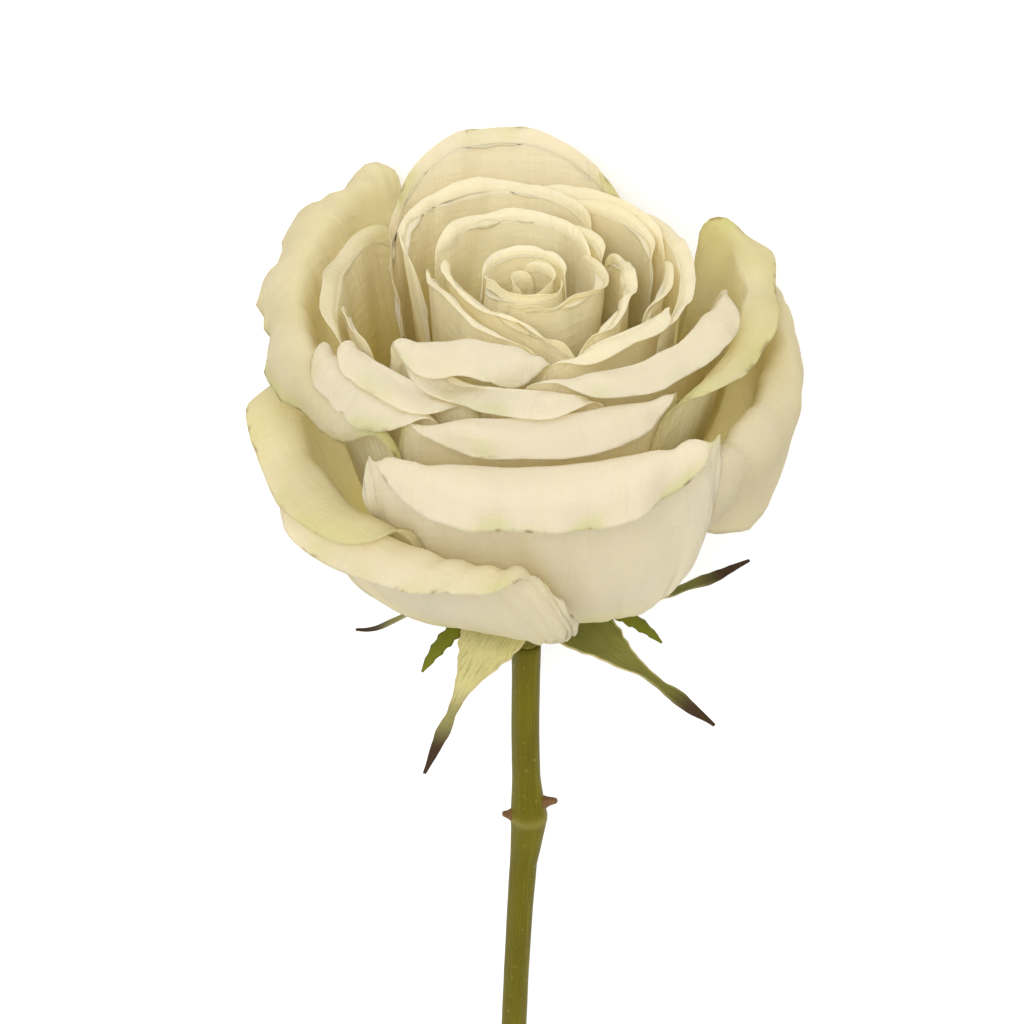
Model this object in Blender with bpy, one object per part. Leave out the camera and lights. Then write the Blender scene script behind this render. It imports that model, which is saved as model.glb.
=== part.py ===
"""A cut white rose lying on its side: petals laid one inside the other on a hip, five sepals, a stem.

Everything is first made in the flower's own frame, in millimetres: the axis of the flower is Z, the
underside of the petals is at Z = 0, azimuth 0 is the side turned up when the rose lies down and
azimuth 90 is to the right of it. The finished pieces are then laid down and scaled to metres.
"""
import math

import bmesh
import bpy
import numpy as np
from mathutils import Vector
from mathutils.bvhtree import BVHTree

# ---------------------------------------------------------------- driving dimensions, millimetres
UNIT = 0.001                 # one millimetre in metres
PETAL_THICK = 0.30           # a fleshy cut-rose petal
SEPAL_THICK = 0.60
FIT_GAP = 0.30               # air left between neighbouring pieces
CLEAR = 0.75                 # distance wanted between the middles of two neighbouring petals

ACROSS = 11                  # stations across a petal
UP_WALL = 9                  # stations up the wall of a petal
UP_LIP = 4                   # stations over its rolled lip

BOWL_R = 50.0                # reach of the outermost wall, sets how low a wall leaves the hip
CLAW_R_MIN = 1.2             # claws stand on the hip between these two radii
CLAW_R_MAX = 9.2
CLAW_CROWD = 0.9             # under 1 the claws crowd toward the rim of the hip
LEAVE_FLAT = 10.0            # slope in degrees at which the outermost wall leaves the hip
LEAVE_MORE = 62.0            # how much steeper the innermost one does
BELLY = 0.70                 # how far out a wall bulges before it turns up, in shares of its reach
BELLY_LESS = 0.08            # the inner ones bulge less by these two shares
BELLY_TIGHT = 0.30
SHOULDER = 0.55              # share of the height over which a wall takes up its final slope
WIDEN = 1.7                  # how soon a petal reaches its full width on the way up
EDGE_CROWD = 0.45            # stations crowd toward the side edges of a petal
TAPER_POWER = 2.6            # how late a lip shrinks toward the corners
LOOK_TILT = 35.0             # a crest is measured where the roll slopes this much to the front
WALL_STEPS = 41              # steps of the fine profile up a wall and over a lip
LIP_STEPS = 24

# easing the petals apart
ROUNDS = 90
LOOK_FAR = 8.0               # how far a petal looks for its neighbours, first and later
LOOK_NEAR = 4.0
LOOK_AGAIN = 30              # rounds between two full searches, and between two quick ones
LOOK_QUICK = 5
SAME_SIDE = 0.72             # cosine of the angle round the flower within which petals are stacked
SAME_FACE = 0.35             # cosine of the angle between skins that face each other
SIDE_EASE = 0.8              # less clearance for each millimetre that a neighbour is off to the side
PUSH_MOST = 2.0              # longest single push
PUSH_SHARE = 0.4             # share of the pushes taken in one round
PUSH_OVER = 1.2              # a spot goes at most this many times its largest push
SHAPE_MEMORY = 0.96          # how much of a shift is kept per round while the petals still ease
CLAW_STIFF = (1.0, 0.95, 0.7, 0.35)      # the lowest stations of a petal move together
CLAW_EASE = (1.9, 1.7, 1.4, 1.2)         # and may come closer to each other
LAST_TRIES = 160
LAST_GAP = 0.14              # air left by the last fitting, and its step
LAST_STEP = 0.16

HIP_TOP = -0.45              # the disc the claws stand on
HIP_PROFILE = ((10.4, -0.45), (10.6, -1.1), (9.6, -2.5), (7.6, -4.5), (5.8, -7.0), (4.3, -9.5),
               (3.4, -12.0), (3.05, -14.0))
STEM_TOP = -14.3
STEM_END = -254.0
#            height, sideways, radius
STEM_RUN = ((-14.3, 0.0, 2.95), (-22.0, 0.0, 2.8), (-35.0, -0.1, 2.8), (-48.0, 0.1, 2.85),
            (-54.0, 0.4, 3.3), (-58.5, 0.6, 3.75), (-63.0, 0.3, 3.3), (-70.0, -0.4, 2.8),
            (-84.0, -1.2, 2.65), (-100.0, -1.9, 2.6), (-125.0, -2.7, 2.65), (-150.0, -3.0, 2.7),
            (-176.0, -2.7, 2.75), (-182.0, -2.5, 3.2), (-187.0, -2.3, 3.1), (-194.0, -2.0, 2.75),
            (-225.0, -1.0, 2.8), (-254.0, 0.0, 2.9))
#             ends of the stretches of the stem and the rings in each
STEM_RINGS = ((-48.0, 5), (-70.0, 11), (-172.0, 10), (-198.0, 8), (-254.0, 5))
STEM_SIDES = 20
HIP_SIDES = 24

OUTER_CREAM = (0.80, 0.74, 0.56)         # base colours
INNER_CREAM = (0.77, 0.69, 0.44)
SEPAL_GREEN = (0.22, 0.25, 0.07)
HIP_GREEN = (0.25, 0.27, 0.06)
STEM_GREEN = (0.16, 0.17, 0.025)
STUB_BROWN = (0.16, 0.07, 0.025)

# ---------------------------------------------------------------- petals
PLAIN = dict(skew=0.0, flare=0.0, tilt=0.0, droop=1.5, side=0.72, square=6.0, lean=84.0, lip=6.0,
             curl=-20.0, twist=0.0, fold=2.0, low=1.0, claw=0.30, lip_skew=0.0, taper=0.45, slant=0.0)


def petal(name, az, span, reach, height, **more):
    """One petal. az, span: middle and half width, degrees. reach, height: crest of its rim.
    skew, flare: how the reach changes across it; tilt, droop: how the height does.
    side: how high its side edges stand; square: how square its corners are; taper: how much the lip
    shrinks toward them; slant: how far round its foot stands from its middle.
    lean: slope of the wall under the lip; lip, curl: length of the lip and slope at its end.
    twist: how the curl changes across it; fold: how much of the bend is near the shoulder."""
    row = dict(PLAIN, name=name, az=az, span=span, reach=reach, height=height)
    row.update(more)
    return row


# outermost first: every petal lies inside all those before it
PETALS = (
    petal("petal_low_front", -28, 35, 47, 39.5, slant=15, skew=-1, flare=2, tilt=-3.5, droop=0, lip=13,
          lip_skew=-0.4, curl=-50, lean=68, low=0.75, square=5, claw=0.45, taper=0.65, fold=2.6),
    petal("petal_under_right", 146, 36, 51, 46, flare=-9, lean=62, side=0.7, claw=0.45),
    petal("petal_low_left", -61, 37, 47, 46, skew=3, flare=-1, tilt=-4.5, droop=0, lip=13,
          lip_skew=0.25, curl=-30, lean=70, side=0.75, low=0.8, square=4, claw=0.55, taper=0.35,
          fold=2.6, twist=-12),
    petal("petal_under_left", -146, 36, 51, 47, flare=-9, lean=62, side=0.7, claw=0.45),
    petal("petal_front_outer", 4, 41, 47.5, 59, skew=-0.5, flare=4, tilt=1, droop=-1, lip=16, curl=-72,
          lean=80, side=0.85, low=0.85, square=8, claw=0.5, taper=0.9, fold=3, twist=-10),
    petal("petal_right_outer", 80, 44, 47, 55, skew=3, flare=1.5, tilt=3.5, droop=1, lip=32,
          lip_skew=-0.5, curl=-102, lean=80, low=0.72, square=3.2, claw=0.55, taper=0.6, twist=26,
          fold=6),
    petal("petal_left_outer", -92, 60, 43.5, 65, skew=-4, flare=5, droop=1, lip=17, curl=-80, lean=76,
          side=0.8, claw=0.6, taper=0.5, tilt=-5, twist=-40, fold=3),
    petal("petal_right_second", 84, 50, 42, 65, skew=3, flare=3, tilt=2, droop=0, lip=9, curl=-30,
          lean=76, side=0.8, claw=0.45, taper=0.6),
    petal("petal_front_second", 6, 40, 40, 65, flare=4, droop=0, lip=11, curl=-62, lean=82, side=0.85,
          taper=0.9, claw=0.45, fold=3, twist=10),
    petal("petal_left_third", -46, 26, 40.5, 65.5, droop=1, lip=11, curl=-60, lean=82, side=0.8,
          square=5, taper=0.8, claw=0.4, fold=3),
    petal("petal_left_second", -99, 38, 38.5, 67, flare=1, droop=0, lip=5, curl=10, lean=80, side=0.8),
    petal("petal_left_fourth", -40, 27, 37.5, 67, lip=9, curl=-50, side=0.85, square=5, taper=0.8,
          claw=0.4, fold=3),
    petal("petal_left_narrow", -72, 20, 34.5, 68, lip=2, curl=60, square=3),
    petal("petal_front_third", -12, 36, 34.5, 68.5, skew=2.5, flare=2, lip=10, curl=-50, side=0.85,
          square=5, taper=0.85, claw=0.4, fold=3),
    petal("petal_back_tall", -168, 66, 41, 79, skew=-3.5, flare=-10.5, droop=13, lip=5, curl=40,
          lean=78, side=0.68, square=2, taper=0.5),
    petal("petal_right_third", 46, 52, 34.5, 68.5, skew=1.5, droop=0, lip=9, curl=-40, side=0.85,
          square=5, taper=0.85, claw=0.4, fold=3),
    petal("petal_right_fourth", 100, 48, 31.5, 70, skew=2, flare=1.5, lip=4, curl=0, side=0.85,
          square=8),
    petal("petal_back_right_outer", 148, 38, 31.5, 71.5, skew=2, lip=4, curl=30, side=0.85),
    petal("petal_front_right_inner", 40, 38, 27, 70, flare=2.5, curl=-30, lean=86, side=0.85, square=5,
          taper=0.8),
    petal("petal_right_narrow", 86, 26, 27, 70, skew=2, lip=3, curl=20, lean=86, side=0.85),
    petal("petal_back_right_inner", 138, 36, 28, 71.5, skew=1, flare=-2, lip=3, curl=30, lean=86,
          side=0.85),
    petal("petal_back_second", -160, 60, 33, 72, flare=-12, lip=3, curl=30, side=0.85, square=8),
    petal("petal_front_fourth", -20, 34, 25, 70, skew=-2.5, flare=5, lip=13, curl=-66, lean=86,
          side=0.85, square=5, taper=0.9, fold=3),
    petal("petal_inner_right", 75, 54, 20.8, 70.5, skew=-2.5, flare=1.5, lip=3, curl=10, lean=90,
          side=0.9, square=8),
    petal("petal_inner_left_outer", -52, 60, 16.8, 70, skew=2, flare=5.5, lip=3, curl=0, lean=90,
          side=0.9, square=8),
    petal("petal_inner_back_narrow", 140, 26, 18.3, 71.5, flare=-2, lip=3, curl=30, lean=90, side=0.9),
    petal("petal_inner_back", -175, 64, 21, 72, skew=5.5, flare=-7, lip=3, curl=30, lean=90, side=0.9,
          square=8),
    petal("petal_inner_left", -48, 72, 13.5, 70.5, skew=2.5, flare=7, lip=3, curl=0, lean=92,
          side=0.92, square=8),
    petal("petal_cup_right", 52, 80, 15, 71, skew=4, flare=-2, lip=3, curl=30, lean=92, side=0.92,
          square=10),
    petal("petal_heart_back", 175, 105, 8, 72, skew=0.8, lip=2, curl=40, lean=96, side=0.95, square=10),
    petal("petal_heart_front", -10, 100, 9.2, 71.5, skew=-0.5, flare=-2.6, lip=2, curl=50, lean=96,
          side=0.95, square=10),
    petal("petal_heart_right", 95, 100, 5.2, 71, lip=2, curl=60, lean=96, side=0.95, square=10),
    petal("petal_heart_centre", -110, 100, 2.8, 70, lip=2, curl=70, lean=95, side=0.95, square=10),
)

# ---------------------------------------------------------------- sepals
#         name, azimuth, reach and height of the tip, half width, slope at the root, slope at the tip
SEPALS = (
    ("sepal_front_left", -26.0, 44.0, -15.5, 6.8, -10.0, -32.0),
    ("sepal_front_right", 46.0, 49.0, -8.5, 7.2, -14.0, -14.0),
    ("sepal_right", 112.0, 48.0, -7.5, 6.6, -50.0, 16.0),
    ("sepal_under", -170.0, 33.0, -24.0, 6.0, -6.0, -28.0),
    ("sepal_left", -98.0, 34.0, -15.0, 6.4, -10.0, -6.0),
)
SEPAL_ROOT = (10.2, -1.75)  # where a sepal leaves the rim of the hip
#               how far along, share of the half width: a broad foot, a thin neck, a small leafy tip
SEPAL_OUTLINE = ((0.0, 0.80), (0.1, 0.98), (0.2, 0.82), (0.35, 0.46), (0.5, 0.23), (0.62, 0.14),
                 (0.76, 0.22), (0.9, 0.12), (1.0, 0.04))
SEPAL_LEAD = 0.40            # how long it holds its first and its last direction, shares of its length
SEPAL_FALL = 0.34
SEPAL_KEEL = 0.9             # depth of the fold along it at the foot
SEPAL_WARP = 0.25            # how far it rocks from side to side
SEPAL_ROWS = 17
SEPAL_ACROSS = 7

#          name, azimuth, height, length, radius
STUBS = (("prickle_stub_left", -84.0, -57.8, 1.7, 1.15),
         ("prickle_stub_right", 82.0, -54.4, 2.6, 1.35))
#               how far along, share of the radius
STUB_OUTLINE = ((0.0, 1.0), (0.25, 0.85), (0.6, 0.62), (0.9, 0.5), (1.0, 0.3))
STUB_RISE = 0.25             # a stub points up the stem this much
STUB_SIDES = 10

# ---------------------------------------------------------------- lying down
HEAD_FROM = 5.0              # the head is all that is above this height
TAIL_RUN = 20.0              # the tail is this much of the end of the stem
SIDE_FROM = 8.0              # a foot of the head lies at least this far to one side
FIRST_SLOPE = 8.0            # degrees, from here the pose is found in small steps
POSE_STEPS = 60


def ease(x):
    """From 0 to 1 without a corner."""
    x = np.clip(x, 0.0, 1.0)
    return x * x * (3.0 - 2.0 * x)


# ---------------------------------------------------------------- the sheet of one petal
def lip_turn(row, u):
    """The lip of a petal at every station across it: its steps outward and up from the shoulder."""
    lean = math.radians(row["lean"])
    curl = np.radians(row["curl"] + row["twist"] * u)
    length = row["lip"] * (1.0 - row["taper"] * np.abs(u) ** TAPER_POWER) * (1.0 + row["lip_skew"] * u)
    x = ((np.arange(LIP_STEPS) + 0.5) / LIP_STEPS)[:, None]
    slope = lean + (curl - lean) * (1.0 - (1.0 - x) ** row["fold"])
    return (length / LIP_STEPS)[None, :, None] * np.stack([np.cos(slope), np.sin(slope)], -1)


def meridians(row, u):
    """Wall and lip of the petal at every station across it, as fine profiles."""
    steps = lip_turn(row, u)
    lean = math.radians(row["lean"])
    curl = np.radians(row["curl"] + row["twist"] * u)
    brow = math.radians(LOOK_TILT * math.cos(math.radians(row["az"])))
    to_crest = np.clip((lean - np.maximum(curl, brow)) / (lean - curl), 0.0, 1.0)
    crest_at = LIP_STEPS * (1.0 - (1.0 - to_crest) ** (1.0 / row["fold"]))
    rise = (np.clip(crest_at - np.arange(LIP_STEPS)[:, None], 0.0, 1.0)[:, :, None] * steps).sum(0)
    reach = row["reach"] + row["skew"] * u + row["flare"] * u ** 2 - rise[:, 0]
    high = row["height"] + row["tilt"] * u - row["droop"] * u ** 2 - rise[:, 1]
    inner = 1.0 - np.clip(reach, 0.0, BOWL_R) / BOWL_R
    foot_r = CLAW_R_MIN + (CLAW_R_MAX - CLAW_R_MIN) * (1.0 - inner) ** CLAW_CROWD
    leave = np.radians(LEAVE_FLAT + LEAVE_MORE * inner)
    foot = np.stack([foot_r, np.zeros_like(u)], -1)
    top = np.stack([reach, high], -1)
    full = (BELLY - BELLY_LESS * inner) * reach * (1.0 - BELLY_TIGHT * inner)
    out = foot + full[:, None] * np.stack([np.cos(leave), np.sin(leave)], -1)
    under = top - (SHOULDER * high * row["low"])[:, None] * np.array([math.cos(lean), math.sin(lean)])
    t = np.linspace(0.0, 1.0, WALL_STEPS)[:, None, None]
    wall = (1 - t) ** 3 * foot + 3 * (1 - t) ** 2 * t * out + 3 * (1 - t) * t ** 2 * under + t ** 3 * top
    line = np.concatenate([wall, top + np.cumsum(steps, 0)], 0)
    return line, np.concatenate([t[:, 0, 0], np.ones(LIP_STEPS)])


def sheet(row):
    """The middle surface of a petal: stations up it by stations across it."""
    u = np.sin(np.linspace(-1, 1, ACROSS) * math.pi * EDGE_CROWD) / math.sin(math.pi * EDGE_CROWD)
    line, share = meridians(row, u)
    run = np.linalg.norm(np.diff(line, axis=0), axis=-1)
    run = np.concatenate([np.zeros((1, ACROSS)), np.cumsum(run, 0)], 0)
    lip_part = float(np.clip(row["lip"] / run[-1, ACROSS // 2], 0.05, 0.5))
    rise = np.concatenate([np.linspace(0, 1 - lip_part, UP_WALL)[:-1],
                           np.linspace(1 - lip_part, 1, UP_LIP + 1)])
    rim = np.sqrt(1.0 - np.abs(u) ** row["square"] * 0.9999)
    ends = 1.0 - (1.0 - row["side"]) * (1.0 - rim)
    width = row["claw"] + (1.0 - row["claw"]) * ease(share * WIDEN)
    grid = np.zeros((len(rise), ACROSS, 3))
    for c in range(ACROSS):
        s = rise * ends[c] * run[-1, c]
        r = np.interp(s, run[:, c], line[:, c, 0])
        z = np.interp(s, run[:, c], line[:, c, 1])
        a = np.radians(row["az"] + row["span"] * u[c] * np.interp(s, run[:, c], width)
                       + row["slant"] * (1.0 - np.interp(s, run[:, c], share)))
        grid[:, c] = np.stack([r * np.sin(a), -r * np.cos(a), z], -1)
    return grid


# ---------------------------------------------------------------- keeping the petals off each other
def faces_of(rows, cols):
    """Triangles between the stations of a sheet."""
    i = np.arange(rows - 1)[:, None] * cols + np.arange(cols - 1)[None, :]
    halves = np.stack([i, i + 1, i + cols + 1, i, i + cols + 1, i + cols], -1).reshape(-1, 3)
    return [tuple(int(v) for v in h) for h in halves]


def outward(grid):
    """Unit normals of a sheet, away from the axis of the flower."""
    n = np.cross(np.gradient(grid, axis=1), np.gradient(grid, axis=0))
    return n / np.maximum(np.linalg.norm(n, axis=-1, keepdims=True), 1e-9)


def tree_of(points, faces):
    return BVHTree.FromPolygons([Vector(p) for p in points.reshape(-1, 3)], faces)


def neighbours(grids, faces, far, known=None):
    """For every spot of every petal, the triangle of each other petal that it faces."""
    trees = [tree_of(g, faces) for g in grids]
    corner = np.array(faces)
    found = {}
    for i, g in enumerate(grids):
        pts = g.reshape(-1, 3)
        spots = [Vector(p) for p in pts]
        for j in range(len(grids)):
            if i == j or (known is not None and (i, j) not in known):
                continue
            which, tri, place = [], [], []
            for a in (close_spots(g, grids[j], far) if known is None else known[(i, j)][0]):
                loc, _, face, _ = trees[j].find_nearest(spots[a], far)
                if loc is not None:
                    which.append(a)
                    tri.append(face)
                    place.append(loc)
            if which:
                tri = corner[tri]
                found[(i, j)] = (np.array(which), tri, shares(np.array(place), grids[j].reshape(-1, 3)[tri]))
    return found


def close_spots(a, b, far):
    """Which spots of one petal could lie within reach of another, by their nearest stations."""
    a, b = a.reshape(-1, 3), b.reshape(-1, 3)
    gap = ((a * a).sum(1)[:, None] + (b * b).sum(1)[None, :] - 2.0 * a @ b.T).min(1)
    return np.nonzero(gap < (far + 5.0) ** 2)[0]


def shares(place, tri):
    """Barycentric shares of places on triangles."""
    a, b, c = tri[:, 1] - tri[:, 0], tri[:, 2] - tri[:, 0], place - tri[:, 0]
    aa, ab, bb = (a * a).sum(1), (a * b).sum(1), (b * b).sum(1)
    ca, cb = (c * a).sum(1), (c * b).sum(1)
    det = np.maximum(aa * bb - ab * ab, 1e-12)
    v, w = (bb * ca - ab * cb) / det, (aa * cb - ab * ca) / det
    return np.stack([1 - v - w, v, w], 1)[:, :, None]


def push(points, normals, tri, share, inner, ease_off):
    """How far each spot has to go to lie on its own side of the other petal."""
    q = (tri * share).sum(1)
    side = np.cross(tri[:, 1] - tri[:, 0], tri[:, 2] - tri[:, 0])
    side /= np.maximum(np.linalg.norm(side, axis=1, keepdims=True), 1e-9)
    d = points - q
    s = (d * side).sum(1)
    along = np.linalg.norm(d - s[:, None] * side, axis=1)
    dist = np.linalg.norm(d, axis=1)
    flat = np.hypot(points[:, 0], points[:, 1]) * np.hypot(q[:, 0], q[:, 1])
    same_way = (points[:, 0] * q[:, 0] + points[:, 1] * q[:, 1]) > SAME_SIDE * flat
    facing = (normals * side).sum(1) > SAME_FACE
    sign = 1.0 if inner else -1.0
    need = np.where(same_way & facing, sign * s + CLEAR - SIDE_EASE * along * ease_off, 0.0)
    need = np.clip(need, 0.0, PUSH_MOST)
    near = np.where(~facing & (dist < CLEAR), CLEAR - dist, 0.0)
    move = -(sign * need)[:, None] * side + near[:, None] * d / np.maximum(dist, 0.05)[:, None]
    return move, np.maximum(need, near)


def smooth_shift(shift, passes):
    """Even out how a petal is shifted; its claw moves as one."""
    for _ in range(passes):
        p = np.pad(shift, ((1, 1), (1, 1), (0, 0)), mode="edge")
        mean = (p[:-2, 1:-1] + p[2:, 1:-1] + p[1:-1, :-2] + p[1:-1, 2:]) / 4.0
        shift = 0.5 * shift + 0.5 * mean
    for r, w in enumerate(CLAW_STIFF):
        shift[r] = shift[r] * (1.0 - w) + shift[r].mean(0) * w
    return shift


def one_round(grids, start, found, ease_off, hold, passes):
    """Push every petal off its neighbours once and smooth how it moved."""
    rows, cols = start[0].shape[:2]
    total = [np.zeros((rows * cols, 3)) for g in grids]
    most = [np.zeros(rows * cols) for g in grids]
    points = [g.reshape(-1, 3) for g in grids]
    normals = [outward(g).reshape(-1, 3) for g in grids]
    for (i, j), (which, tri, share) in found.items():
        move, size = push(points[i][which], normals[i][which], points[j][tri], share, i > j, ease_off[which])
        total[i][which] += move
        most[i][which] = np.maximum(most[i][which], size)
    fresh = []
    for i, g in enumerate(grids):
        length = np.linalg.norm(total[i], axis=1)
        cap = np.minimum(1.0, PUSH_OVER * most[i] / np.maximum(length, 1e-9))
        move = (total[i] * cap[:, None]).reshape(rows, cols, 3)
        g = start[i] + smooth_shift((g + PUSH_SHARE * move - start[i]) * hold, passes)
        g[0, :, 2] = start[i][0, :, 2]
        g[:, :, 2] = np.maximum(g[:, :, 2], 0.0)
        fresh.append(g)
    return fresh


def settle(start):
    """Ease the petals apart until each lies inside the ones before it."""
    faces = faces_of(*start[0].shape[:2])
    rows, cols = start[0].shape[:2]
    ease_off = np.ones((rows, cols))
    ease_off[:len(CLAW_EASE)] = np.array(CLAW_EASE)[:, None]
    ease_off = ease_off.reshape(-1)
    grids = [g.copy() for g in start]
    for k in range(ROUNDS):
        far = LOOK_FAR if k < LOOK_AGAIN else LOOK_NEAR
        if k % LOOK_AGAIN == 0:
            found = neighbours(grids, faces, far)
        elif k % LOOK_QUICK == 0:
            found = neighbours(grids, faces, far, found)
        part = k / ROUNDS
        passes = sum(part < stage for stage in (0.3, 0.5, 0.75))
        grids = one_round(grids, start, found, ease_off, SHAPE_MEMORY if part < 0.7 else 1.0, passes)
    return part_slabs(grids)


def part_slabs(grids):
    """Last fitting: where two thickened petals still meet, move just those places apart."""
    rows, cols = grids[0].shape[:2]
    k = rows * cols
    faces = slab(grids[0], PETAL_THICK)[1]
    corner = [[v % k for v in f] for f in faces]
    for _ in range(LAST_TRIES):
        trees = [tree_of(slab(g, PETAL_THICK + LAST_GAP)[0], faces) for g in grids]
        normals = [outward(g).reshape(-1, 3) for g in grids]
        moves = [np.zeros((k, 3)) for g in grids]
        clash = 0
        for i in range(len(grids)):
            for j in range(i):
                for a, b in trees[i].overlap(trees[j]):
                    away = normals[i][corner[a]].mean(0) + normals[j][corner[b]].mean(0)
                    away /= max(np.linalg.norm(away), 1e-6)
                    moves[i][corner[a]] -= away
                    moves[j][corner[b]] += away
                    clash += 1
        if not clash:
            break
        for g, move in zip(grids, moves):
            length = np.linalg.norm(move, axis=1, keepdims=True)
            move = (LAST_STEP * move / np.maximum(length, 1.0)).reshape(rows, cols, 3)
            g += smooth_shift(move, 1)
            g[:, :, 2] = np.maximum(g[:, :, 2], 0.0)
    return grids


# ---------------------------------------------------------------- solids
def slab(grid, thick):
    """A sheet given thickness: outer skin, inner skin and the edge between them."""
    rows, cols = grid.shape[:2]
    n = outward(grid)
    verts = np.concatenate([(grid + n * thick / 2).reshape(-1, 3), (grid - n * thick / 2).reshape(-1, 3)])
    k = rows * cols
    skin = faces_of(rows, cols)
    back = [tuple(k + c for c in reversed(q)) for q in skin]
    rim = [c for c in range(cols)] + [r * cols + cols - 1 for r in range(1, rows)]
    rim += [(rows - 1) * cols + c for c in range(cols - 2, -1, -1)]
    rim += [r * cols for r in range(rows - 2, 0, -1)]
    edge = []
    for a, b in zip(rim, rim[1:] + rim[:1]):
        edge += [(b, a, k + a), (b, k + a, k + b)]
    return verts, skin + back + edge


def seat_claw(grid):
    """Let the foot of a petal reach down to its gap above the hip."""
    foot = grid[0, :, 2] - 0.5 * PETAL_THICK * np.abs(outward(grid)[0, :, 2])
    grid[0, :, 2] -= foot.min() - (HIP_TOP + FIT_GAP)
    return grid


def tube(centres, radii, sides):
    """A closed round rod through the centres, each ring square to the run."""
    centres = np.asarray(centres, float)
    along = np.gradient(centres, axis=0)
    along /= np.linalg.norm(along, axis=1, keepdims=True)
    side = np.cross(along, np.array([0.0, 1.0, 0.0]))
    side /= np.linalg.norm(side, axis=1, keepdims=True)
    other = np.cross(along, side)
    a = np.linspace(0, 2 * math.pi, sides, endpoint=False)
    rings = [c + r * (np.outer(np.cos(a), s) + np.outer(np.sin(a), o))
             for c, r, s, o in zip(centres, radii, side, other)]
    verts = np.concatenate(rings + [centres[:1], centres[-1:]])
    faces = []
    for k in range(len(rings) - 1):
        for m in range(sides):
            p, q = k * sides + m, k * sides + (m + 1) % sides
            faces.append((p, q, q + sides, p + sides))
    first, last, base = len(verts) - 2, len(verts) - 1, (len(rings) - 1) * sides
    faces += [(first, (m + 1) % sides, m) for m in range(sides)]
    faces += [(last, base + m, base + (m + 1) % sides) for m in range(sides)]
    return verts, faces


def hip():
    """The urn under the petals: a domed disc on top, narrowing to the stem."""
    profile = [(2.0, HIP_TOP), (6.0, HIP_TOP)] + list(HIP_PROFILE) + [(1.5, HIP_PROFILE[-1][1])]
    return tube([(0.0, 0.0, z - 1e-4 * k) for k, (r, z) in enumerate(profile)],
                [r for r, z in profile], HIP_SIDES)


def stem():
    """The stem as one rod, with more rings where it swells."""
    run = np.array(STEM_RUN)
    z = [STEM_TOP]
    for end, rings in STEM_RINGS:
        z += list(np.linspace(z[-1], end, rings + 1)[1:])
    z = np.array(z)
    x = np.interp(-z, -run[:, 0], run[:, 1])
    r = np.interp(-z, -run[:, 0], run[:, 2])
    centres = np.stack([x, np.zeros_like(x), z], -1)
    return tube(centres, r, STEM_SIDES)


def stem_at(height):
    """How far aside the stem is at a height, and its radius there."""
    run = np.array(STEM_RUN)
    return (float(np.interp(-height, -run[:, 0], run[:, 1])),
            float(np.interp(-height, -run[:, 0], run[:, 2])))


def stub(az, height, length, radius):
    """The short brown foot left where a prickle was rubbed off."""
    x, r = stem_at(height)
    a = math.radians(az)
    out = np.array([math.sin(a), -math.cos(a), STUB_RISE])
    start = np.array([x, 0.0, height]) + np.array([math.sin(a), -math.cos(a), 0.0]) * (r + FIT_GAP + 0.1)
    return tube([start + out * length * s for s, _ in STUB_OUTLINE],
                [radius * share for _, share in STUB_OUTLINE], STUB_SIDES)


def heading(slope):
    """One step outward and up at a slope in degrees."""
    return np.array([math.cos(math.radians(slope)), math.sin(math.radians(slope))])


def sepal(az, tip_r, tip_z, half, leave, arrive):
    """A long pointed leaf: broad foot, thin neck, small leafy tip."""
    root = np.array(SEPAL_ROOT)
    tip = np.array([tip_r, tip_z])
    length = float(np.linalg.norm(tip - root))
    lead = root + SEPAL_LEAD * length * heading(leave)
    fall = tip - SEPAL_FALL * length * heading(arrive)
    s = np.linspace(0, 1, SEPAL_ROWS)[:, None]
    line = (1 - s) ** 3 * root + 3 * (1 - s) ** 2 * s * lead + 3 * (1 - s) * s ** 2 * fall + s ** 3 * tip
    s = s[:, 0]
    width = half * np.interp(s, *zip(*SEPAL_OUTLINE))
    c = np.linspace(-1, 1, SEPAL_ACROSS)
    over = width[:, None] * c[None, :]
    keel = (SEPAL_KEEL * (1 - s)[:, None] * (1 - c[None, :] ** 2)
            + SEPAL_WARP * np.sin(6 * s)[:, None] * c[None, :])
    a = math.radians(az)
    out = np.array([math.sin(a), -math.cos(a), 0.0])
    side = np.array([math.cos(a), math.sin(a), 0.0])
    grid = (line[:, 0, None, None] * out + over[..., None] * side
            + (line[:, 1, None] - keel)[..., None] * np.array([0.0, 0.0, 1.0]))
    ring = np.hypot(grid[..., 0], grid[..., 1])          # the foot follows the round of the hip
    grow = np.maximum(root[0] / np.maximum(ring, 1e-6), 1.0) * (s < 0.02)[:, None]
    grow = np.where(grow > 0, grow, 1.0)
    grid[..., 0] *= grow
    grid[..., 1] *= grow
    return slab(grid, SEPAL_THICK)


# ---------------------------------------------------------------- laying the rose down
def lay(points, slope, roll):
    """Flower frame to the frame of the part: the flower looks along -Y, its azimuth 0 is up."""
    ca, sa = math.cos(roll), math.sin(roll)
    x = points[:, 0] * ca - points[:, 1] * sa
    y = points[:, 0] * sa + points[:, 1] * ca
    cs, ss = math.cos(slope), math.sin(slope)
    return np.stack([-x, -y * ss - points[:, 2] * cs, -y * cs + points[:, 2] * ss], -1)


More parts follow.
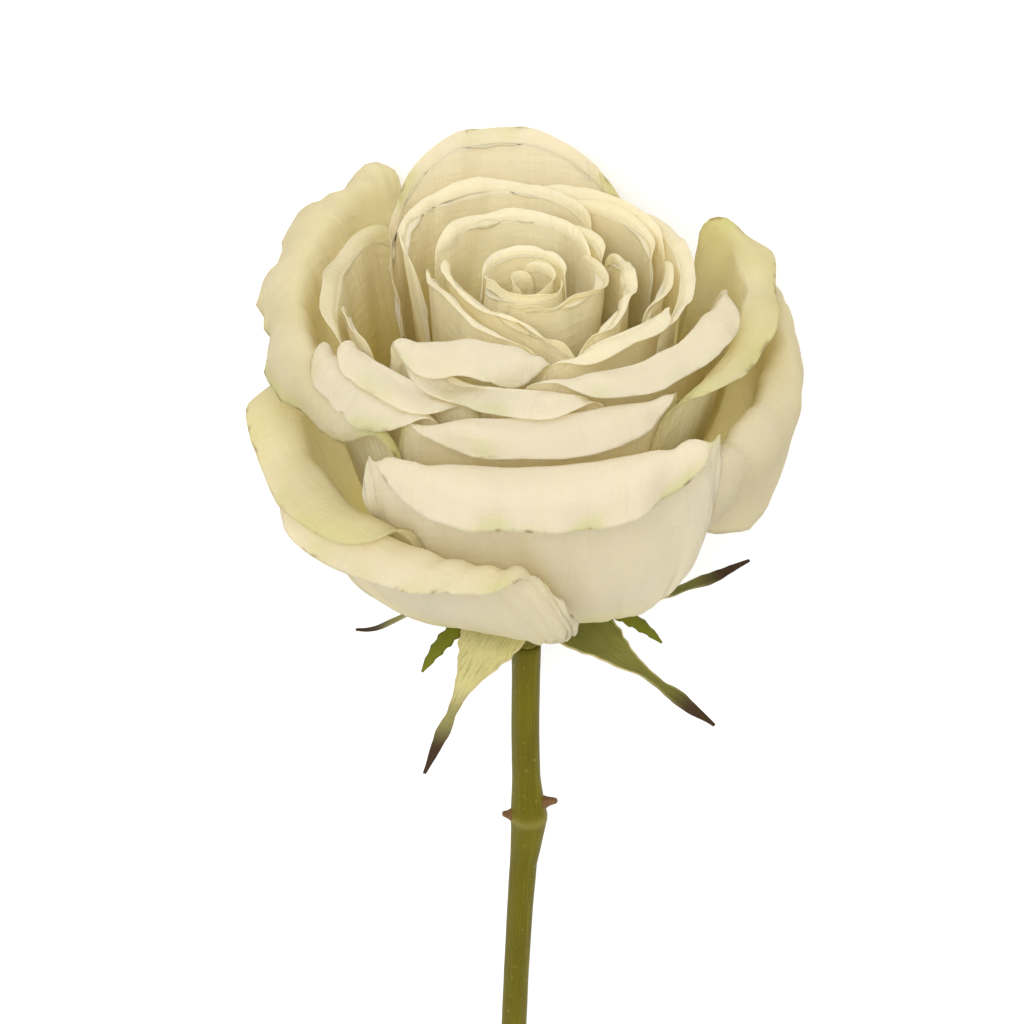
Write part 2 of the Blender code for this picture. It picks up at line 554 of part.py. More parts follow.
def resting_pose(points):
    """Slope and roll at which the stem end and both under petals touch the ground together."""
    head = points[points[:, 2] > HEAD_FROM]
    tail = points[points[:, 2] < STEM_END + TAIL_RUN]
    slope, roll = math.radians(FIRST_SLOPE), 0.0
    for _ in range(POSE_STEPS):
        h, t = lay(head, slope, roll), lay(tail, slope, roll)
        left, right = h[h[:, 0] > SIDE_FROM], h[h[:, 0] < -SIDE_FROM]
        a, b = left[left[:, 2].argmin()], right[right[:, 2].argmin()]
        c = t[t[:, 2].argmin()]
        roll += 0.5 * (b[2] - a[2]) / (a[0] - b[0])
        low = 0.5 * (a + b)
        slope += 0.5 * (c[2] - low[2]) / abs(low[1] - c[1])
    return slope, roll


def make_object(name, verts, faces, colour, rough):
    """One piece as its own object with its own material."""
    mesh = bpy.data.meshes.new(name)
    mesh.from_pydata([tuple(float(c) for c in v) for v in verts], [], faces)
    bm = bmesh.new()
    bm.from_mesh(mesh)
    bmesh.ops.recalc_face_normals(bm, faces=bm.faces)
    bm.to_mesh(mesh)
    bm.free()
    for poly in mesh.polygons:
        poly.use_smooth = True
    mat = bpy.data.materials.new(name + "_skin")
    mat.use_nodes = True
    node = mat.node_tree.nodes["Principled BSDF"]
    node.inputs["Base Color"].default_value = (*colour, 1.0)
    node.inputs["Roughness"].default_value = rough
    mesh.materials.append(mat)
    obj = bpy.data.objects.new(name, mesh)
    bpy.context.collection.objects.link(obj)
    return obj


def build():
    """Every piece in the flower's frame, then all of them laid down together."""
    for obj in list(bpy.data.objects):
        bpy.data.objects.remove(obj)
    pieces = []
    grids = [seat_claw(grid) for grid in settle([sheet(row) for row in PETALS])]
    for row, grid in zip(PETALS, grids):
        deep = 1.0 - min(row["reach"], BOWL_R) / BOWL_R
        cream = tuple(a + (b - a) * deep for a, b in zip(OUTER_CREAM, INNER_CREAM))
        pieces.append((row["name"], slab(grid, PETAL_THICK), cream, 0.55))
    pieces += [(row[0], sepal(*row[1:]), SEPAL_GREEN, 0.6) for row in SEPALS]
    pieces.append(("hip", hip(), HIP_GREEN, 0.5))
    pieces.append(("stem", stem(), STEM_GREEN, 0.5))
    pieces += [(row[0], stub(*row[1:]), STUB_BROWN, 0.7) for row in STUBS]
    everything = np.concatenate([verts for _, (verts, _), _, _ in pieces])
    slope, roll = resting_pose(everything)
    laid = lay(everything, slope, roll)
    low, high = laid.min(0), laid.max(0)
    shift = np.array([-(low[0] + high[0]) / 2, -(low[1] + high[1]) / 2, -low[2]])
    for name, (verts, faces), colour, rough in pieces:
        make_object(name, (lay(verts, slope, roll) + shift) * UNIT, faces, colour, rough)


build()
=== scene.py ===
"""Looks of a cut white rose that lies on its side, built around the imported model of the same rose.

The petals, sepals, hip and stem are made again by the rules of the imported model, on the same stations,
and read finely: irregular rims, soft waves, veins. The flower's own frame is in millimetres, with the
axis of the flower along Z, the underside of the petals at Z = 0, azimuth 0 on the upper side of the
lying flower and azimuth 90 to the right of it.
"""
import math

import bpy
import numpy as np
from mathutils import Matrix, Vector
from mathutils.bvhtree import BVHTree


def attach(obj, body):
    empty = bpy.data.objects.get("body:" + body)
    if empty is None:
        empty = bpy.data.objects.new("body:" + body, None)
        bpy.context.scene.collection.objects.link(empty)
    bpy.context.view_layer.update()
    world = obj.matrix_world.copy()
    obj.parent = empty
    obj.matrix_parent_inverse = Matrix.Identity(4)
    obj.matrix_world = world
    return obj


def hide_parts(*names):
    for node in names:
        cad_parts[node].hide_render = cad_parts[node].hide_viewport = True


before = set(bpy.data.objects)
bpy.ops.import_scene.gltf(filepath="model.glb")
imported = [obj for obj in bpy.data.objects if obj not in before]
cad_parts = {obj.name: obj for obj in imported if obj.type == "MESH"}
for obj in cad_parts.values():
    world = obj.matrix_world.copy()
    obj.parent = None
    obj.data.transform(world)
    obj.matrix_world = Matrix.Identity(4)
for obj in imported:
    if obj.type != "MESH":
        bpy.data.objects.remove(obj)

# ---------------------------------------------------------------- looks, in millimetres unless it says so
FINE = 5                     # fine stations for each coarse one
VIEW_TILT = 35.0             # the camera looks at the flower this far above its equator
VIEW_TARGET = (-2.835, 13.797, 20.0)
VIEW_DISTANCE = 720.0
VIEW_LENS = 133.93
VIEW_SENSOR = 36.0
VIEW_CLIP = (0.05, 20.0)     # metres
FLOOR_HALF = 6.0             # metres
FLOOR_Z = -0.0002
FLOOR_GREY = (0.80, 0.80, 0.80)
WHITE = (1.0, 1.0, 1.0, 1.0)
FLOOR_LIFT = 0.34            # light added to the floor where it is seen, so that it reads as white
WORLD_FILL = 0.92
LIGHT_BOUNCES = 5            # light travels far between pale petals
HEAD_MIDDLE = (0.0, 0.0, 40.0)
#        name, towards the lamp in the flower's frame, distance in metres, size in metres, watts
LAMPS = (("key_front", (-0.12, -0.80, 0.60), 1.25, 0.45, 6.0),
         ("fill_top", (0.25, 0.15, 1.0), 1.3, 0.9, 2.4))
SEPAL_PALE = (1.0, 0.15, 0.3, 0.4, 0.6)     # how much of the felt shows on each sepal
OUTER_SHOWN = ("petal_low_front", "petal_low_left", "petal_front_outer", "petal_right_outer",
               "petal_left_outer", "petal_under_left", "petal_under_right")
OUTER_COUNT = 8              # the petals of the outer rows, and the tall one at the back, take up less of the painted shade
OUTER_PAINTED_SHADE = 0.35            # how much of the painted shade, the yellow of the gaps, they take up inside
AGE_AND_SHADE_OUTSIDE = 0.75           # how far an outer petal and one with a wide lip have faded at least, partly real fading and partly painted shade on their bright lips
AGE_AND_SHADE_LIPPED = 0.5
WIDE_LIP = 9.0
AGE_AND_SHADE_FIRST = 1.25             # age of the outermost petal, partly real fading and partly painted shade, and how much less each next one has
AGE_AND_SHADE_STEP = 1.0 / 14.0
PAINTED_SHADE_FROM = 4.0              # the painted shade, a yellow in the gaps between petals, starts this far under the crest and fills in over this
PAINTED_SHADE_OVER = 28.0
PETAL_EDGE_THICK = 0.10
THINS_FROM = 7.0             # a petal thins this far from its rim, and from its sides
SIDE_THINS_FROM = 3.0
SIDE_THICK = 0.35
NIBBLE = 0.8                 # how far a rim is drawn in, and the waves in that:
NIBBLE_WAVE = (0.8, 12.0, 34.0)          # height, shortest and longest wave, here and below
NIBBLE_RIPPLE = (0.12, 2.5, 7.0)
NIBBLE_MOST = 2.6
FULL_LIP = 11.0              # shorter lips are drawn in less
RIPPLE_WAVES = 5
RIPPLE_GAIN = 1.6
TEARS = (1, 4)               # small tears in a rim: number, depth, width
TEAR_DEEP = (0.3, 0.9)
TEAR_WIDE = (0.7, 1.4)
RIM_WAVE = (0.9, 16.0, 44.0)
RIM_WAVE_FADE = 9.0          # a wave of the rim dies away this far down the petal
RIM_RIPPLE = (0.14, 6.0, 12.0)
RIM_RIPPLE_FADE = 3.0
WRINKLE = (0.34, 6.0, 18.0)  # folds that run up the petal, leaning a little
WRINKLE_LEAN = 0.25
WRINKLE_START = 18.0
BROAD_UP = (0.5, 18.0, 46.0)
BROAD_ACROSS = (1.0, 18.0, 50.0)
SHIFT_MOST = 1.2
ROOM_KEPT = 0.42             # waves use a share of the air to the next petal beyond this much
ROOM_SHARE = 0.42
ROOM_MOST = 1.9
ROOM_FAR = 6.0               # neighbours are looked for within this
#        how green the outer petals have stayed
TINGED = {"petal_low_front": 0.15, "petal_low_left": 0.6, "petal_left_outer": 0.5, "petal_left_second": 0.3,
          "petal_right_outer": 0.4, "petal_right_second": 0.8, "petal_back_tall": 0.05,
          "petal_under_left": 0.7, "petal_under_right": 0.7}
#        sepal, edge of it, place along it, length, spread aside, dip of the tip
LOBES = (("sepal_front_left", -1, 0.05, 11.0, 0.6, -6.5),
         ("sepal_front_right", 1, 0.05, 11.5, 0.75, -6.0),
         ("sepal_right", -1, 0.12, 5.0, 0.5, -1.0))
LOBE_HALF = 1.5
LOBE_TEETH = 0.16
LOBE_TIP = 0.08
LOBE_KEEL = 0.3
LOBE_THICK = 0.35
LOBE_FAN = (0.0, 3.0, 1.0)   # what the leaf's material is told about every corner of a lobe
LOBE_MARK = (0.0, 0.35, 0.0)
SEPAL_FINE_UP = 6            # fine stations for each coarse one
SEPAL_FINE_ACROSS = 5
SEPAL_TEETH = (0.05, 2.2, 5.0)
SEPAL_CURL = (0.35, 8.0, 22.0)
SEPAL_EDGE_THICK = 0.28
SEPAL_THINS_FROM = 1.4
#             ends of the stretches of the stem and the fine rings in each
FINE_RINGS = ((-46.0, 21), (-72.0, 39), (-170.0, 49), (-200.0, 39), (-254.0, 27))
STEM_FINE_SIDES = 48
JOINT_ALONG = 43.8           # the upper joint and the leaf scar, from the top of the stem
SCAR_ALONG = 169.5
SCAR_ANGLE = 4.3
BARK_GIRTH = 6.6             # the streaks of the bark are laid round the stem at this size
BARK_LEAN = 0.37
HIP_FINE_RINGS = 64
HIP_FINE_SIDES = 60
#            how far along a stub, share of its radius
STUB_FINE = ((-0.3, 1.12), (-0.1, 1.12), (0.1, 1.0), (0.3, 0.82), (0.5, 0.68), (0.7, 0.58),
             (0.85, 0.5), (0.95, 0.38), (1.0, 0.2))


def rgb(r, g, b):
    """An on-screen colour, 0 to 255, as scene-linear."""
    out = []
    for c in (r, g, b):
        c /= 255.0
        out.append(c / 12.92 if c <= 0.04045 else ((c + 0.055) / 1.055) ** 2.4)
    return (*out, 1.0)


PETAL_LIGHT = rgb(250, 246, 230)
PETAL_WARM = rgb(249, 242, 214)
# painted shade: warm yellow standing in for the light caught in the gaps between petals
PETAL_PAINTED_SHADE = rgb(253, 244, 172)
PETAL_FOOT = rgb(238, 234, 144)
PETAL_VEIN = rgb(242, 232, 200)
PETAL_GREEN = rgb(214, 216, 150)
PETAL_BROWN = rgb(156, 124, 78)
PETAL_GLOW = rgb(254, 245, 204)
# partly the faded colour of old outer petals, partly painted shade that tones down their lit lips
PETAL_FADED_AND_SHADED = rgb(230, 222, 209)
PETAL_TINGE = rgb(222, 214, 150)
LEAF_DARK = rgb(88, 94, 12)
LEAF_LIGHT = rgb(126, 126, 30)
FELT_DARK = rgb(206, 196, 132)
FELT_LIGHT = rgb(230, 222, 168)
LEAF_VEIN = rgb(86, 88, 34)
LEAF_EDGE = rgb(214, 200, 150)
LEAF_TURNING = rgb(104, 104, 44)
LEAF_DRY = rgb(66, 48, 30)
BARK_DARK = rgb(90, 80, 2)
BARK_LIGHT = rgb(114, 106, 4)
BARK_STREAK = rgb(134, 128, 28)
BARK_SHADE = rgb(66, 62, 18)
BARK_FLECK = rgb(164, 158, 92)
BARK_SCAR = rgb(152, 140, 70)
BARK_CUT = rgb(196, 198, 142)
CORK_DARK = rgb(74, 44, 20)
CORK_LIGHT = rgb(146, 106, 60)


# ---------------------------------------------------------------- driving dimensions, millimetres
UNIT = 0.001                 # one millimetre in metres
PETAL_THICK = 0.30           # a fleshy cut-rose petal
SEPAL_THICK = 0.60
FIT_GAP = 0.30               # air left between neighbouring pieces
CLEAR = 0.75                 # distance wanted between the middles of two neighbouring petals

ACROSS = 11                  # stations across a petal
UP_WALL = 9                  # stations up the wall of a petal
UP_LIP = 4                   # stations over its rolled lip

BOWL_R = 50.0                # reach of the outermost wall, sets how low a wall leaves the hip
CLAW_R_MIN = 1.2             # claws stand on the hip between these two radii
CLAW_R_MAX = 9.2
CLAW_CROWD = 0.9             # under 1 the claws crowd toward the rim of the hip
LEAVE_FLAT = 10.0            # slope in degrees at which the outermost wall leaves the hip
LEAVE_MORE = 62.0            # how much steeper the innermost one does
BELLY = 0.70                 # how far out a wall bulges before it turns up, in shares of its reach
BELLY_LESS = 0.08            # the inner ones bulge less by these two shares
BELLY_TIGHT = 0.30
SHOULDER = 0.55              # share of the height over which a wall takes up its final slope
WIDEN = 1.7                  # how soon a petal reaches its full width on the way up
EDGE_CROWD = 0.45            # stations crowd toward the side edges of a petal
TAPER_POWER = 2.6            # how late a lip shrinks toward the corners
LOOK_TILT = 35.0             # a crest is measured where the roll slopes this much to the front
WALL_STEPS = 41              # steps of the fine profile up a wall and over a lip
LIP_STEPS = 24

# easing the petals apart
ROUNDS = 90
LOOK_FAR = 8.0               # how far a petal looks for its neighbours, first and later
LOOK_NEAR = 4.0
LOOK_AGAIN = 30              # rounds between two full searches, and between two quick ones
LOOK_QUICK = 5
SAME_SIDE = 0.72             # cosine of the angle round the flower within which petals are stacked
SAME_FACE = 0.35             # cosine of the angle between skins that face each other
SIDE_EASE = 0.8              # less clearance for each millimetre that a neighbour is off to the side
PUSH_MOST = 2.0              # longest single push
PUSH_SHARE = 0.4             # share of the pushes taken in one round
PUSH_OVER = 1.2              # a spot goes at most this many times its largest push
SHAPE_MEMORY = 0.96          # how much of a shift is kept per round while the petals still ease
CLAW_STIFF = (1.0, 0.95, 0.7, 0.35)      # the lowest stations of a petal move together
CLAW_EASE = (1.9, 1.7, 1.4, 1.2)         # and may come closer to each other
LAST_TRIES = 160
LAST_GAP = 0.14              # air left by the last fitting, and its step
LAST_STEP = 0.16

HIP_TOP = -0.45              # the disc the claws stand on
HIP_PROFILE = ((10.4, -0.45), (10.6, -1.1), (9.6, -2.5), (7.6, -4.5), (5.8, -7.0), (4.3, -9.5),
               (3.4, -12.0), (3.05, -14.0))
STEM_TOP = -14.3
#            height, sideways, radius
STEM_RUN = ((-14.3, 0.0, 2.95), (-22.0, 0.0, 2.8), (-35.0, -0.1, 2.8), (-48.0, 0.1, 2.85),
            (-54.0, 0.4, 3.3), (-58.5, 0.6, 3.75), (-63.0, 0.3, 3.3), (-70.0, -0.4, 2.8),
            (-84.0, -1.2, 2.65), (-100.0, -1.9, 2.6), (-125.0, -2.7, 2.65), (-150.0, -3.0, 2.7),
            (-176.0, -2.7, 2.75), (-182.0, -2.5, 3.2), (-187.0, -2.3, 3.1), (-194.0, -2.0, 2.75),
            (-225.0, -1.0, 2.8), (-254.0, 0.0, 2.9))


# ---------------------------------------------------------------- petals
PLAIN = dict(skew=0.0, flare=0.0, tilt=0.0, droop=1.5, side=0.72, square=6.0, lean=84.0, lip=6.0,
             curl=-20.0, twist=0.0, fold=2.0, low=1.0, claw=0.30, lip_skew=0.0, taper=0.45, slant=0.0)


def petal(name, az, span, reach, height, **more):
    """One petal. az, span: middle and half width, degrees. reach, height: crest of its rim.
    skew, flare: how the reach changes across it; tilt, droop: how the height does.
    side: how high its side edges stand; square: how square its corners are; taper: how much the lip
    shrinks toward them; slant: how far round its foot stands from its middle.
    lean: slope of the wall under the lip; lip, curl: length of the lip and slope at its end.
    twist: how the curl changes across it; fold: how much of the bend is near the shoulder."""
    row = dict(PLAIN, name=name, az=az, span=span, reach=reach, height=height)
    row.update(more)
    return row


# outermost first: every petal lies inside all those before it
PETALS = (
    petal("petal_low_front", -28, 35, 47, 39.5, slant=15, skew=-1, flare=2, tilt=-3.5, droop=0, lip=13,
          lip_skew=-0.4, curl=-50, lean=68, low=0.75, square=5, claw=0.45, taper=0.65, fold=2.6),
    petal("petal_under_right", 146, 36, 51, 46, flare=-9, lean=62, side=0.7, claw=0.45),
    petal("petal_low_left", -61, 37, 47, 46, skew=3, flare=-1, tilt=-4.5, droop=0, lip=13,
          lip_skew=0.25, curl=-30, lean=70, side=0.75, low=0.8, square=4, claw=0.55, taper=0.35,
          fold=2.6, twist=-12),
    petal("petal_under_left", -146, 36, 51, 47, flare=-9, lean=62, side=0.7, claw=0.45),
    petal("petal_front_outer", 4, 41, 47.5, 59, skew=-0.5, flare=4, tilt=1, droop=-1, lip=16, curl=-72,
          lean=80, side=0.85, low=0.85, square=8, claw=0.5, taper=0.9, fold=3, twist=-10),
    petal("petal_right_outer", 80, 44, 47, 55, skew=3, flare=1.5, tilt=3.5, droop=1, lip=32,
          lip_skew=-0.5, curl=-102, lean=80, low=0.72, square=3.2, claw=0.55, taper=0.6, twist=26,
          fold=6),
    petal("petal_left_outer", -92, 60, 43.5, 65, skew=-4, flare=5, droop=1, lip=17, curl=-80, lean=76,
          side=0.8, claw=0.6, taper=0.5, tilt=-5, twist=-40, fold=3),
    petal("petal_right_second", 84, 50, 42, 65, skew=3, flare=3, tilt=2, droop=0, lip=9, curl=-30,
          lean=76, side=0.8, claw=0.45, taper=0.6),
    petal("petal_front_second", 6, 40, 40, 65, flare=4, droop=0, lip=11, curl=-62, lean=82, side=0.85,
          taper=0.9, claw=0.45, fold=3, twist=10),
    petal("petal_left_third", -46, 26, 40.5, 65.5, droop=1, lip=11, curl=-60, lean=82, side=0.8,
          square=5, taper=0.8, claw=0.4, fold=3),
    petal("petal_left_second", -99, 38, 38.5, 67, flare=1, droop=0, lip=5, curl=10, lean=80, side=0.8),
    petal("petal_left_fourth", -40, 27, 37.5, 67, lip=9, curl=-50, side=0.85, square=5, taper=0.8,
          claw=0.4, fold=3),
    petal("petal_left_narrow", -72, 20, 34.5, 68, lip=2, curl=60, square=3),
    petal("petal_front_third", -12, 36, 34.5, 68.5, skew=2.5, flare=2, lip=10, curl=-50, side=0.85,
          square=5, taper=0.85, claw=0.4, fold=3),
    petal("petal_back_tall", -168, 66, 41, 79, skew=-3.5, flare=-10.5, droop=13, lip=5, curl=40,
          lean=78, side=0.68, square=2, taper=0.5),
    petal("petal_right_third", 46, 52, 34.5, 68.5, skew=1.5, droop=0, lip=9, curl=-40, side=0.85,
          square=5, taper=0.85, claw=0.4, fold=3),
    petal("petal_right_fourth", 100, 48, 31.5, 70, skew=2, flare=1.5, lip=4, curl=0, side=0.85,
          square=8),
    petal("petal_back_right_outer", 148, 38, 31.5, 71.5, skew=2, lip=4, curl=30, side=0.85),
    petal("petal_front_right_inner", 40, 38, 27, 70, flare=2.5, curl=-30, lean=86, side=0.85, square=5,
          taper=0.8),
    petal("petal_right_narrow", 86, 26, 27, 70, skew=2, lip=3, curl=20, lean=86, side=0.85),
    petal("petal_back_right_inner", 138, 36, 28, 71.5, skew=1, flare=-2, lip=3, curl=30, lean=86,
          side=0.85),
    petal("petal_back_second", -160, 60, 33, 72, flare=-12, lip=3, curl=30, side=0.85, square=8),
    petal("petal_front_fourth", -20, 34, 25, 70, skew=-2.5, flare=5, lip=13, curl=-66, lean=86,
          side=0.85, square=5, taper=0.9, fold=3),
    petal("petal_inner_right", 75, 54, 20.8, 70.5, skew=-2.5, flare=1.5, lip=3, curl=10, lean=90,
          side=0.9, square=8),
    petal("petal_inner_left_outer", -52, 60, 16.8, 70, skew=2, flare=5.5, lip=3, curl=0, lean=90,
          side=0.9, square=8),
    petal("petal_inner_back_narrow", 140, 26, 18.3, 71.5, flare=-2, lip=3, curl=30, lean=90, side=0.9),
    petal("petal_inner_back", -175, 64, 21, 72, skew=5.5, flare=-7, lip=3, curl=30, lean=90, side=0.9,
          square=8),
    petal("petal_inner_left", -48, 72, 13.5, 70.5, skew=2.5, flare=7, lip=3, curl=0, lean=92,
          side=0.92, square=8),
    petal("petal_cup_right", 52, 80, 15, 71, skew=4, flare=-2, lip=3, curl=30, lean=92, side=0.92,
          square=10),
    petal("petal_heart_back", 175, 105, 8, 72, skew=0.8, lip=2, curl=40, lean=96, side=0.95, square=10),
    petal("petal_heart_front", -10, 100, 9.2, 71.5, skew=-0.5, flare=-2.6, lip=2, curl=50, lean=96,
          side=0.95, square=10),
    petal("petal_heart_right", 95, 100, 5.2, 71, lip=2, curl=60, lean=96, side=0.95, square=10),
    petal("petal_heart_centre", -110, 100, 2.8, 70, lip=2, curl=70, lean=95, side=0.95, square=10),
)

# ---------------------------------------------------------------- sepals
#         name, azimuth, reach and height of the tip, half width, slope at the root, slope at the tip
SEPALS = (
    ("sepal_front_left", -26.0, 44.0, -15.5, 6.8, -10.0, -32.0),
    ("sepal_front_right", 46.0, 49.0, -8.5, 7.2, -14.0, -14.0),
    ("sepal_right", 112.0, 48.0, -7.5, 6.6, -50.0, 16.0),
    ("sepal_under", -170.0, 33.0, -24.0, 6.0, -6.0, -28.0),
    ("sepal_left", -98.0, 34.0, -15.0, 6.4, -10.0, -6.0),
)
SEPAL_ROOT = (10.2, -1.75)  # where a sepal leaves the rim of the hip
#               how far along, share of the half width: a broad foot, a thin neck, a small leafy tip
SEPAL_OUTLINE = ((0.0, 0.80), (0.1, 0.98), (0.2, 0.82), (0.35, 0.46), (0.5, 0.23), (0.62, 0.14),
                 (0.76, 0.22), (0.9, 0.12), (1.0, 0.04))
SEPAL_LEAD = 0.40            # how long it holds its first and its last direction, shares of its length
SEPAL_FALL = 0.34
SEPAL_KEEL = 0.9             # depth of the fold along it at the foot
SEPAL_WARP = 0.25            # how far it rocks from side to side
SEPAL_ROWS = 17
SEPAL_ACROSS = 7

#          name, azimuth, height, length, radius
STUBS = (("prickle_stub_left", -84.0, -57.8, 1.7, 1.15),
         ("prickle_stub_right", 82.0, -54.4, 2.6, 1.35))


def ease(x):
    """From 0 to 1 without a corner."""
    x = np.clip(x, 0.0, 1.0)
    return x * x * (3.0 - 2.0 * x)


# ---------------------------------------------------------------- the sheet of one petal
def lip_turn(row, u):
    """The lip of a petal at every station across it: its steps outward and up from the shoulder."""
    lean = math.radians(row["lean"])
    curl = np.radians(row["curl"] + row["twist"] * u)
    length = row["lip"] * (1.0 - row["taper"] * np.abs(u) ** TAPER_POWER) * (1.0 + row["lip_skew"] * u)
    x = ((np.arange(LIP_STEPS) + 0.5) / LIP_STEPS)[:, None]
    slope = lean + (curl - lean) * (1.0 - (1.0 - x) ** row["fold"])
    return (length / LIP_STEPS)[None, :, None] * np.stack([np.cos(slope), np.sin(slope)], -1)


def meridians(row, u):
    """Wall and lip of the petal at every station across it, as fine profiles."""
    steps = lip_turn(row, u)
    lean = math.radians(row["lean"])
    curl = np.radians(row["curl"] + row["twist"] * u)
    brow = math.radians(LOOK_TILT * math.cos(math.radians(row["az"])))
    to_crest = np.clip((lean - np.maximum(curl, brow)) / (lean - curl), 0.0, 1.0)
    crest_at = LIP_STEPS * (1.0 - (1.0 - to_crest) ** (1.0 / row["fold"]))
    rise = (np.clip(crest_at - np.arange(LIP_STEPS)[:, None], 0.0, 1.0)[:, :, None] * steps).sum(0)
    reach = row["reach"] + row["skew"] * u + row["flare"] * u ** 2 - rise[:, 0]
    high = row["height"] + row["tilt"] * u - row["droop"] * u ** 2 - rise[:, 1]
    inner = 1.0 - np.clip(reach, 0.0, BOWL_R) / BOWL_R
    foot_r = CLAW_R_MIN + (CLAW_R_MAX - CLAW_R_MIN) * (1.0 - inner) ** CLAW_CROWD
    leave = np.radians(LEAVE_FLAT + LEAVE_MORE * inner)
    foot = np.stack([foot_r, np.zeros_like(u)], -1)
    top = np.stack([reach, high], -1)
    full = (BELLY - BELLY_LESS * inner) * reach * (1.0 - BELLY_TIGHT * inner)
    out = foot + full[:, None] * np.stack([np.cos(leave), np.sin(leave)], -1)
    under = top - (SHOULDER * high * row["low"])[:, None] * np.array([math.cos(lean), math.sin(lean)])
    t = np.linspace(0.0, 1.0, WALL_STEPS)[:, None, None]
    wall = (1 - t) ** 3 * foot + 3 * (1 - t) ** 2 * t * out + 3 * (1 - t) * t ** 2 * under + t ** 3 * top
    line = np.concatenate([wall, top + np.cumsum(steps, 0)], 0)
    return line, np.concatenate([t[:, 0, 0], np.ones(LIP_STEPS)])


def sheet(row):
    """The middle surface of a petal: stations up it by stations across it."""
    u = np.sin(np.linspace(-1, 1, ACROSS) * math.pi * EDGE_CROWD) / math.sin(math.pi * EDGE_CROWD)
    line, share = meridians(row, u)
    run = travelled(line, 0)
    lip_part = float(np.clip(row["lip"] / run[-1, ACROSS // 2], 0.05, 0.5))
    rise = np.concatenate([np.linspace(0, 1 - lip_part, UP_WALL)[:-1],
                           np.linspace(1 - lip_part, 1, UP_LIP + 1)])
    rim = np.sqrt(1.0 - np.abs(u) ** row["square"] * 0.9999)
    ends = 1.0 - (1.0 - row["side"]) * (1.0 - rim)
    width = row["claw"] + (1.0 - row["claw"]) * ease(share * WIDEN)
    grid = np.zeros((len(rise), ACROSS, 3))
    for c in range(ACROSS):
        s = rise * ends[c] * run[-1, c]
        r = np.interp(s, run[:, c], line[:, c, 0])
        z = np.interp(s, run[:, c], line[:, c, 1])
        a = np.radians(row["az"] + row["span"] * u[c] * np.interp(s, run[:, c], width)
                       + row["slant"] * (1.0 - np.interp(s, run[:, c], share)))
        grid[:, c] = np.stack([r * np.sin(a), -r * np.cos(a), z], -1)
    return grid


# ---------------------------------------------------------------- keeping the petals off each other
def faces_of(rows, cols):
    """Triangles between the stations of a sheet."""
    i = np.arange(rows - 1)[:, None] * cols + np.arange(cols - 1)[None, :]
    halves = np.stack([i, i + 1, i + cols + 1, i, i + cols + 1, i + cols], -1).reshape(-1, 3)
    return [tuple(int(v) for v in h) for h in halves]


def outward(grid):
    """Unit normals of a sheet, away from the axis of the flower."""
    n = np.cross(np.gradient(grid, axis=1), np.gradient(grid, axis=0))
    return n / np.maximum(np.linalg.norm(n, axis=-1, keepdims=True), 1e-9)


def tree_of(points, faces):
    """A search tree of a sheet."""
    return BVHTree.FromPolygons([Vector(p) for p in points.reshape(-1, 3)], faces)


def neighbours(grids, faces, far, known=None):
    """For every spot of every petal, the triangle of each other petal that it faces."""
    trees = [tree_of(g, faces) for g in grids]
    corner = np.array(faces)
    found = {}
    for i, g in enumerate(grids):
        pts = g.reshape(-1, 3)
        spots = [Vector(p) for p in pts]
        for j in range(len(grids)):
            if i == j or (known is not None and (i, j) not in known):
                continue
            which, tri, place = [], [], []
            for a in (close_spots(g, grids[j], far) if known is None else known[(i, j)][0]):
                loc, _, face, _ = trees[j].find_nearest(spots[a], far)
                if loc is not None:
                    which.append(a)
                    tri.append(face)
                    place.append(loc)
            if which:
                tri = corner[tri]
                found[(i, j)] = (np.array(which), tri, shares(np.array(place), grids[j].reshape(-1, 3)[tri]))
    return found


def close_spots(a, b, far):
    """Which spots of one petal could lie within reach of another, by their nearest stations."""
    a, b = a.reshape(-1, 3), b.reshape(-1, 3)
    gap = ((a * a).sum(1)[:, None] + (b * b).sum(1)[None, :] - 2.0 * a @ b.T).min(1)
    return np.nonzero(gap < (far + 5.0) ** 2)[0]


def shares(place, tri):
    """Barycentric shares of places on triangles."""
    a, b, c = tri[:, 1] - tri[:, 0], tri[:, 2] - tri[:, 0], place - tri[:, 0]
    aa, ab, bb = (a * a).sum(1), (a * b).sum(1), (b * b).sum(1)
    ca, cb = (c * a).sum(1), (c * b).sum(1)
    det = np.maximum(aa * bb - ab * ab, 1e-12)
    v, w = (bb * ca - ab * cb) / det, (aa * cb - ab * ca) / det
    return np.stack([1 - v - w, v, w], 1)[:, :, None]


def push(points, normals, tri, share, inner, ease_off):
    """How far each spot has to go to lie on its own side of the other petal."""
    q = (tri * share).sum(1)
    side = np.cross(tri[:, 1] - tri[:, 0], tri[:, 2] - tri[:, 0])
    side /= np.maximum(np.linalg.norm(side, axis=1, keepdims=True), 1e-9)
    d = points - q
    s = (d * side).sum(1)
    along = np.linalg.norm(d - s[:, None] * side, axis=1)
    dist = np.linalg.norm(d, axis=1)
    flat = np.hypot(points[:, 0], points[:, 1]) * np.hypot(q[:, 0], q[:, 1])
    same_way = (points[:, 0] * q[:, 0] + points[:, 1] * q[:, 1]) > SAME_SIDE * flat
    facing = (normals * side).sum(1) > SAME_FACE
    sign = 1.0 if inner else -1.0
    need = np.where(same_way & facing, sign * s + CLEAR - SIDE_EASE * along * ease_off, 0.0)
    need = np.clip(need, 0.0, PUSH_MOST)
    near = np.where(~facing & (dist < CLEAR), CLEAR - dist, 0.0)
    move = -(sign * need)[:, None] * side + near[:, None] * d / np.maximum(dist, 0.05)[:, None]
    return move, np.maximum(need, near)


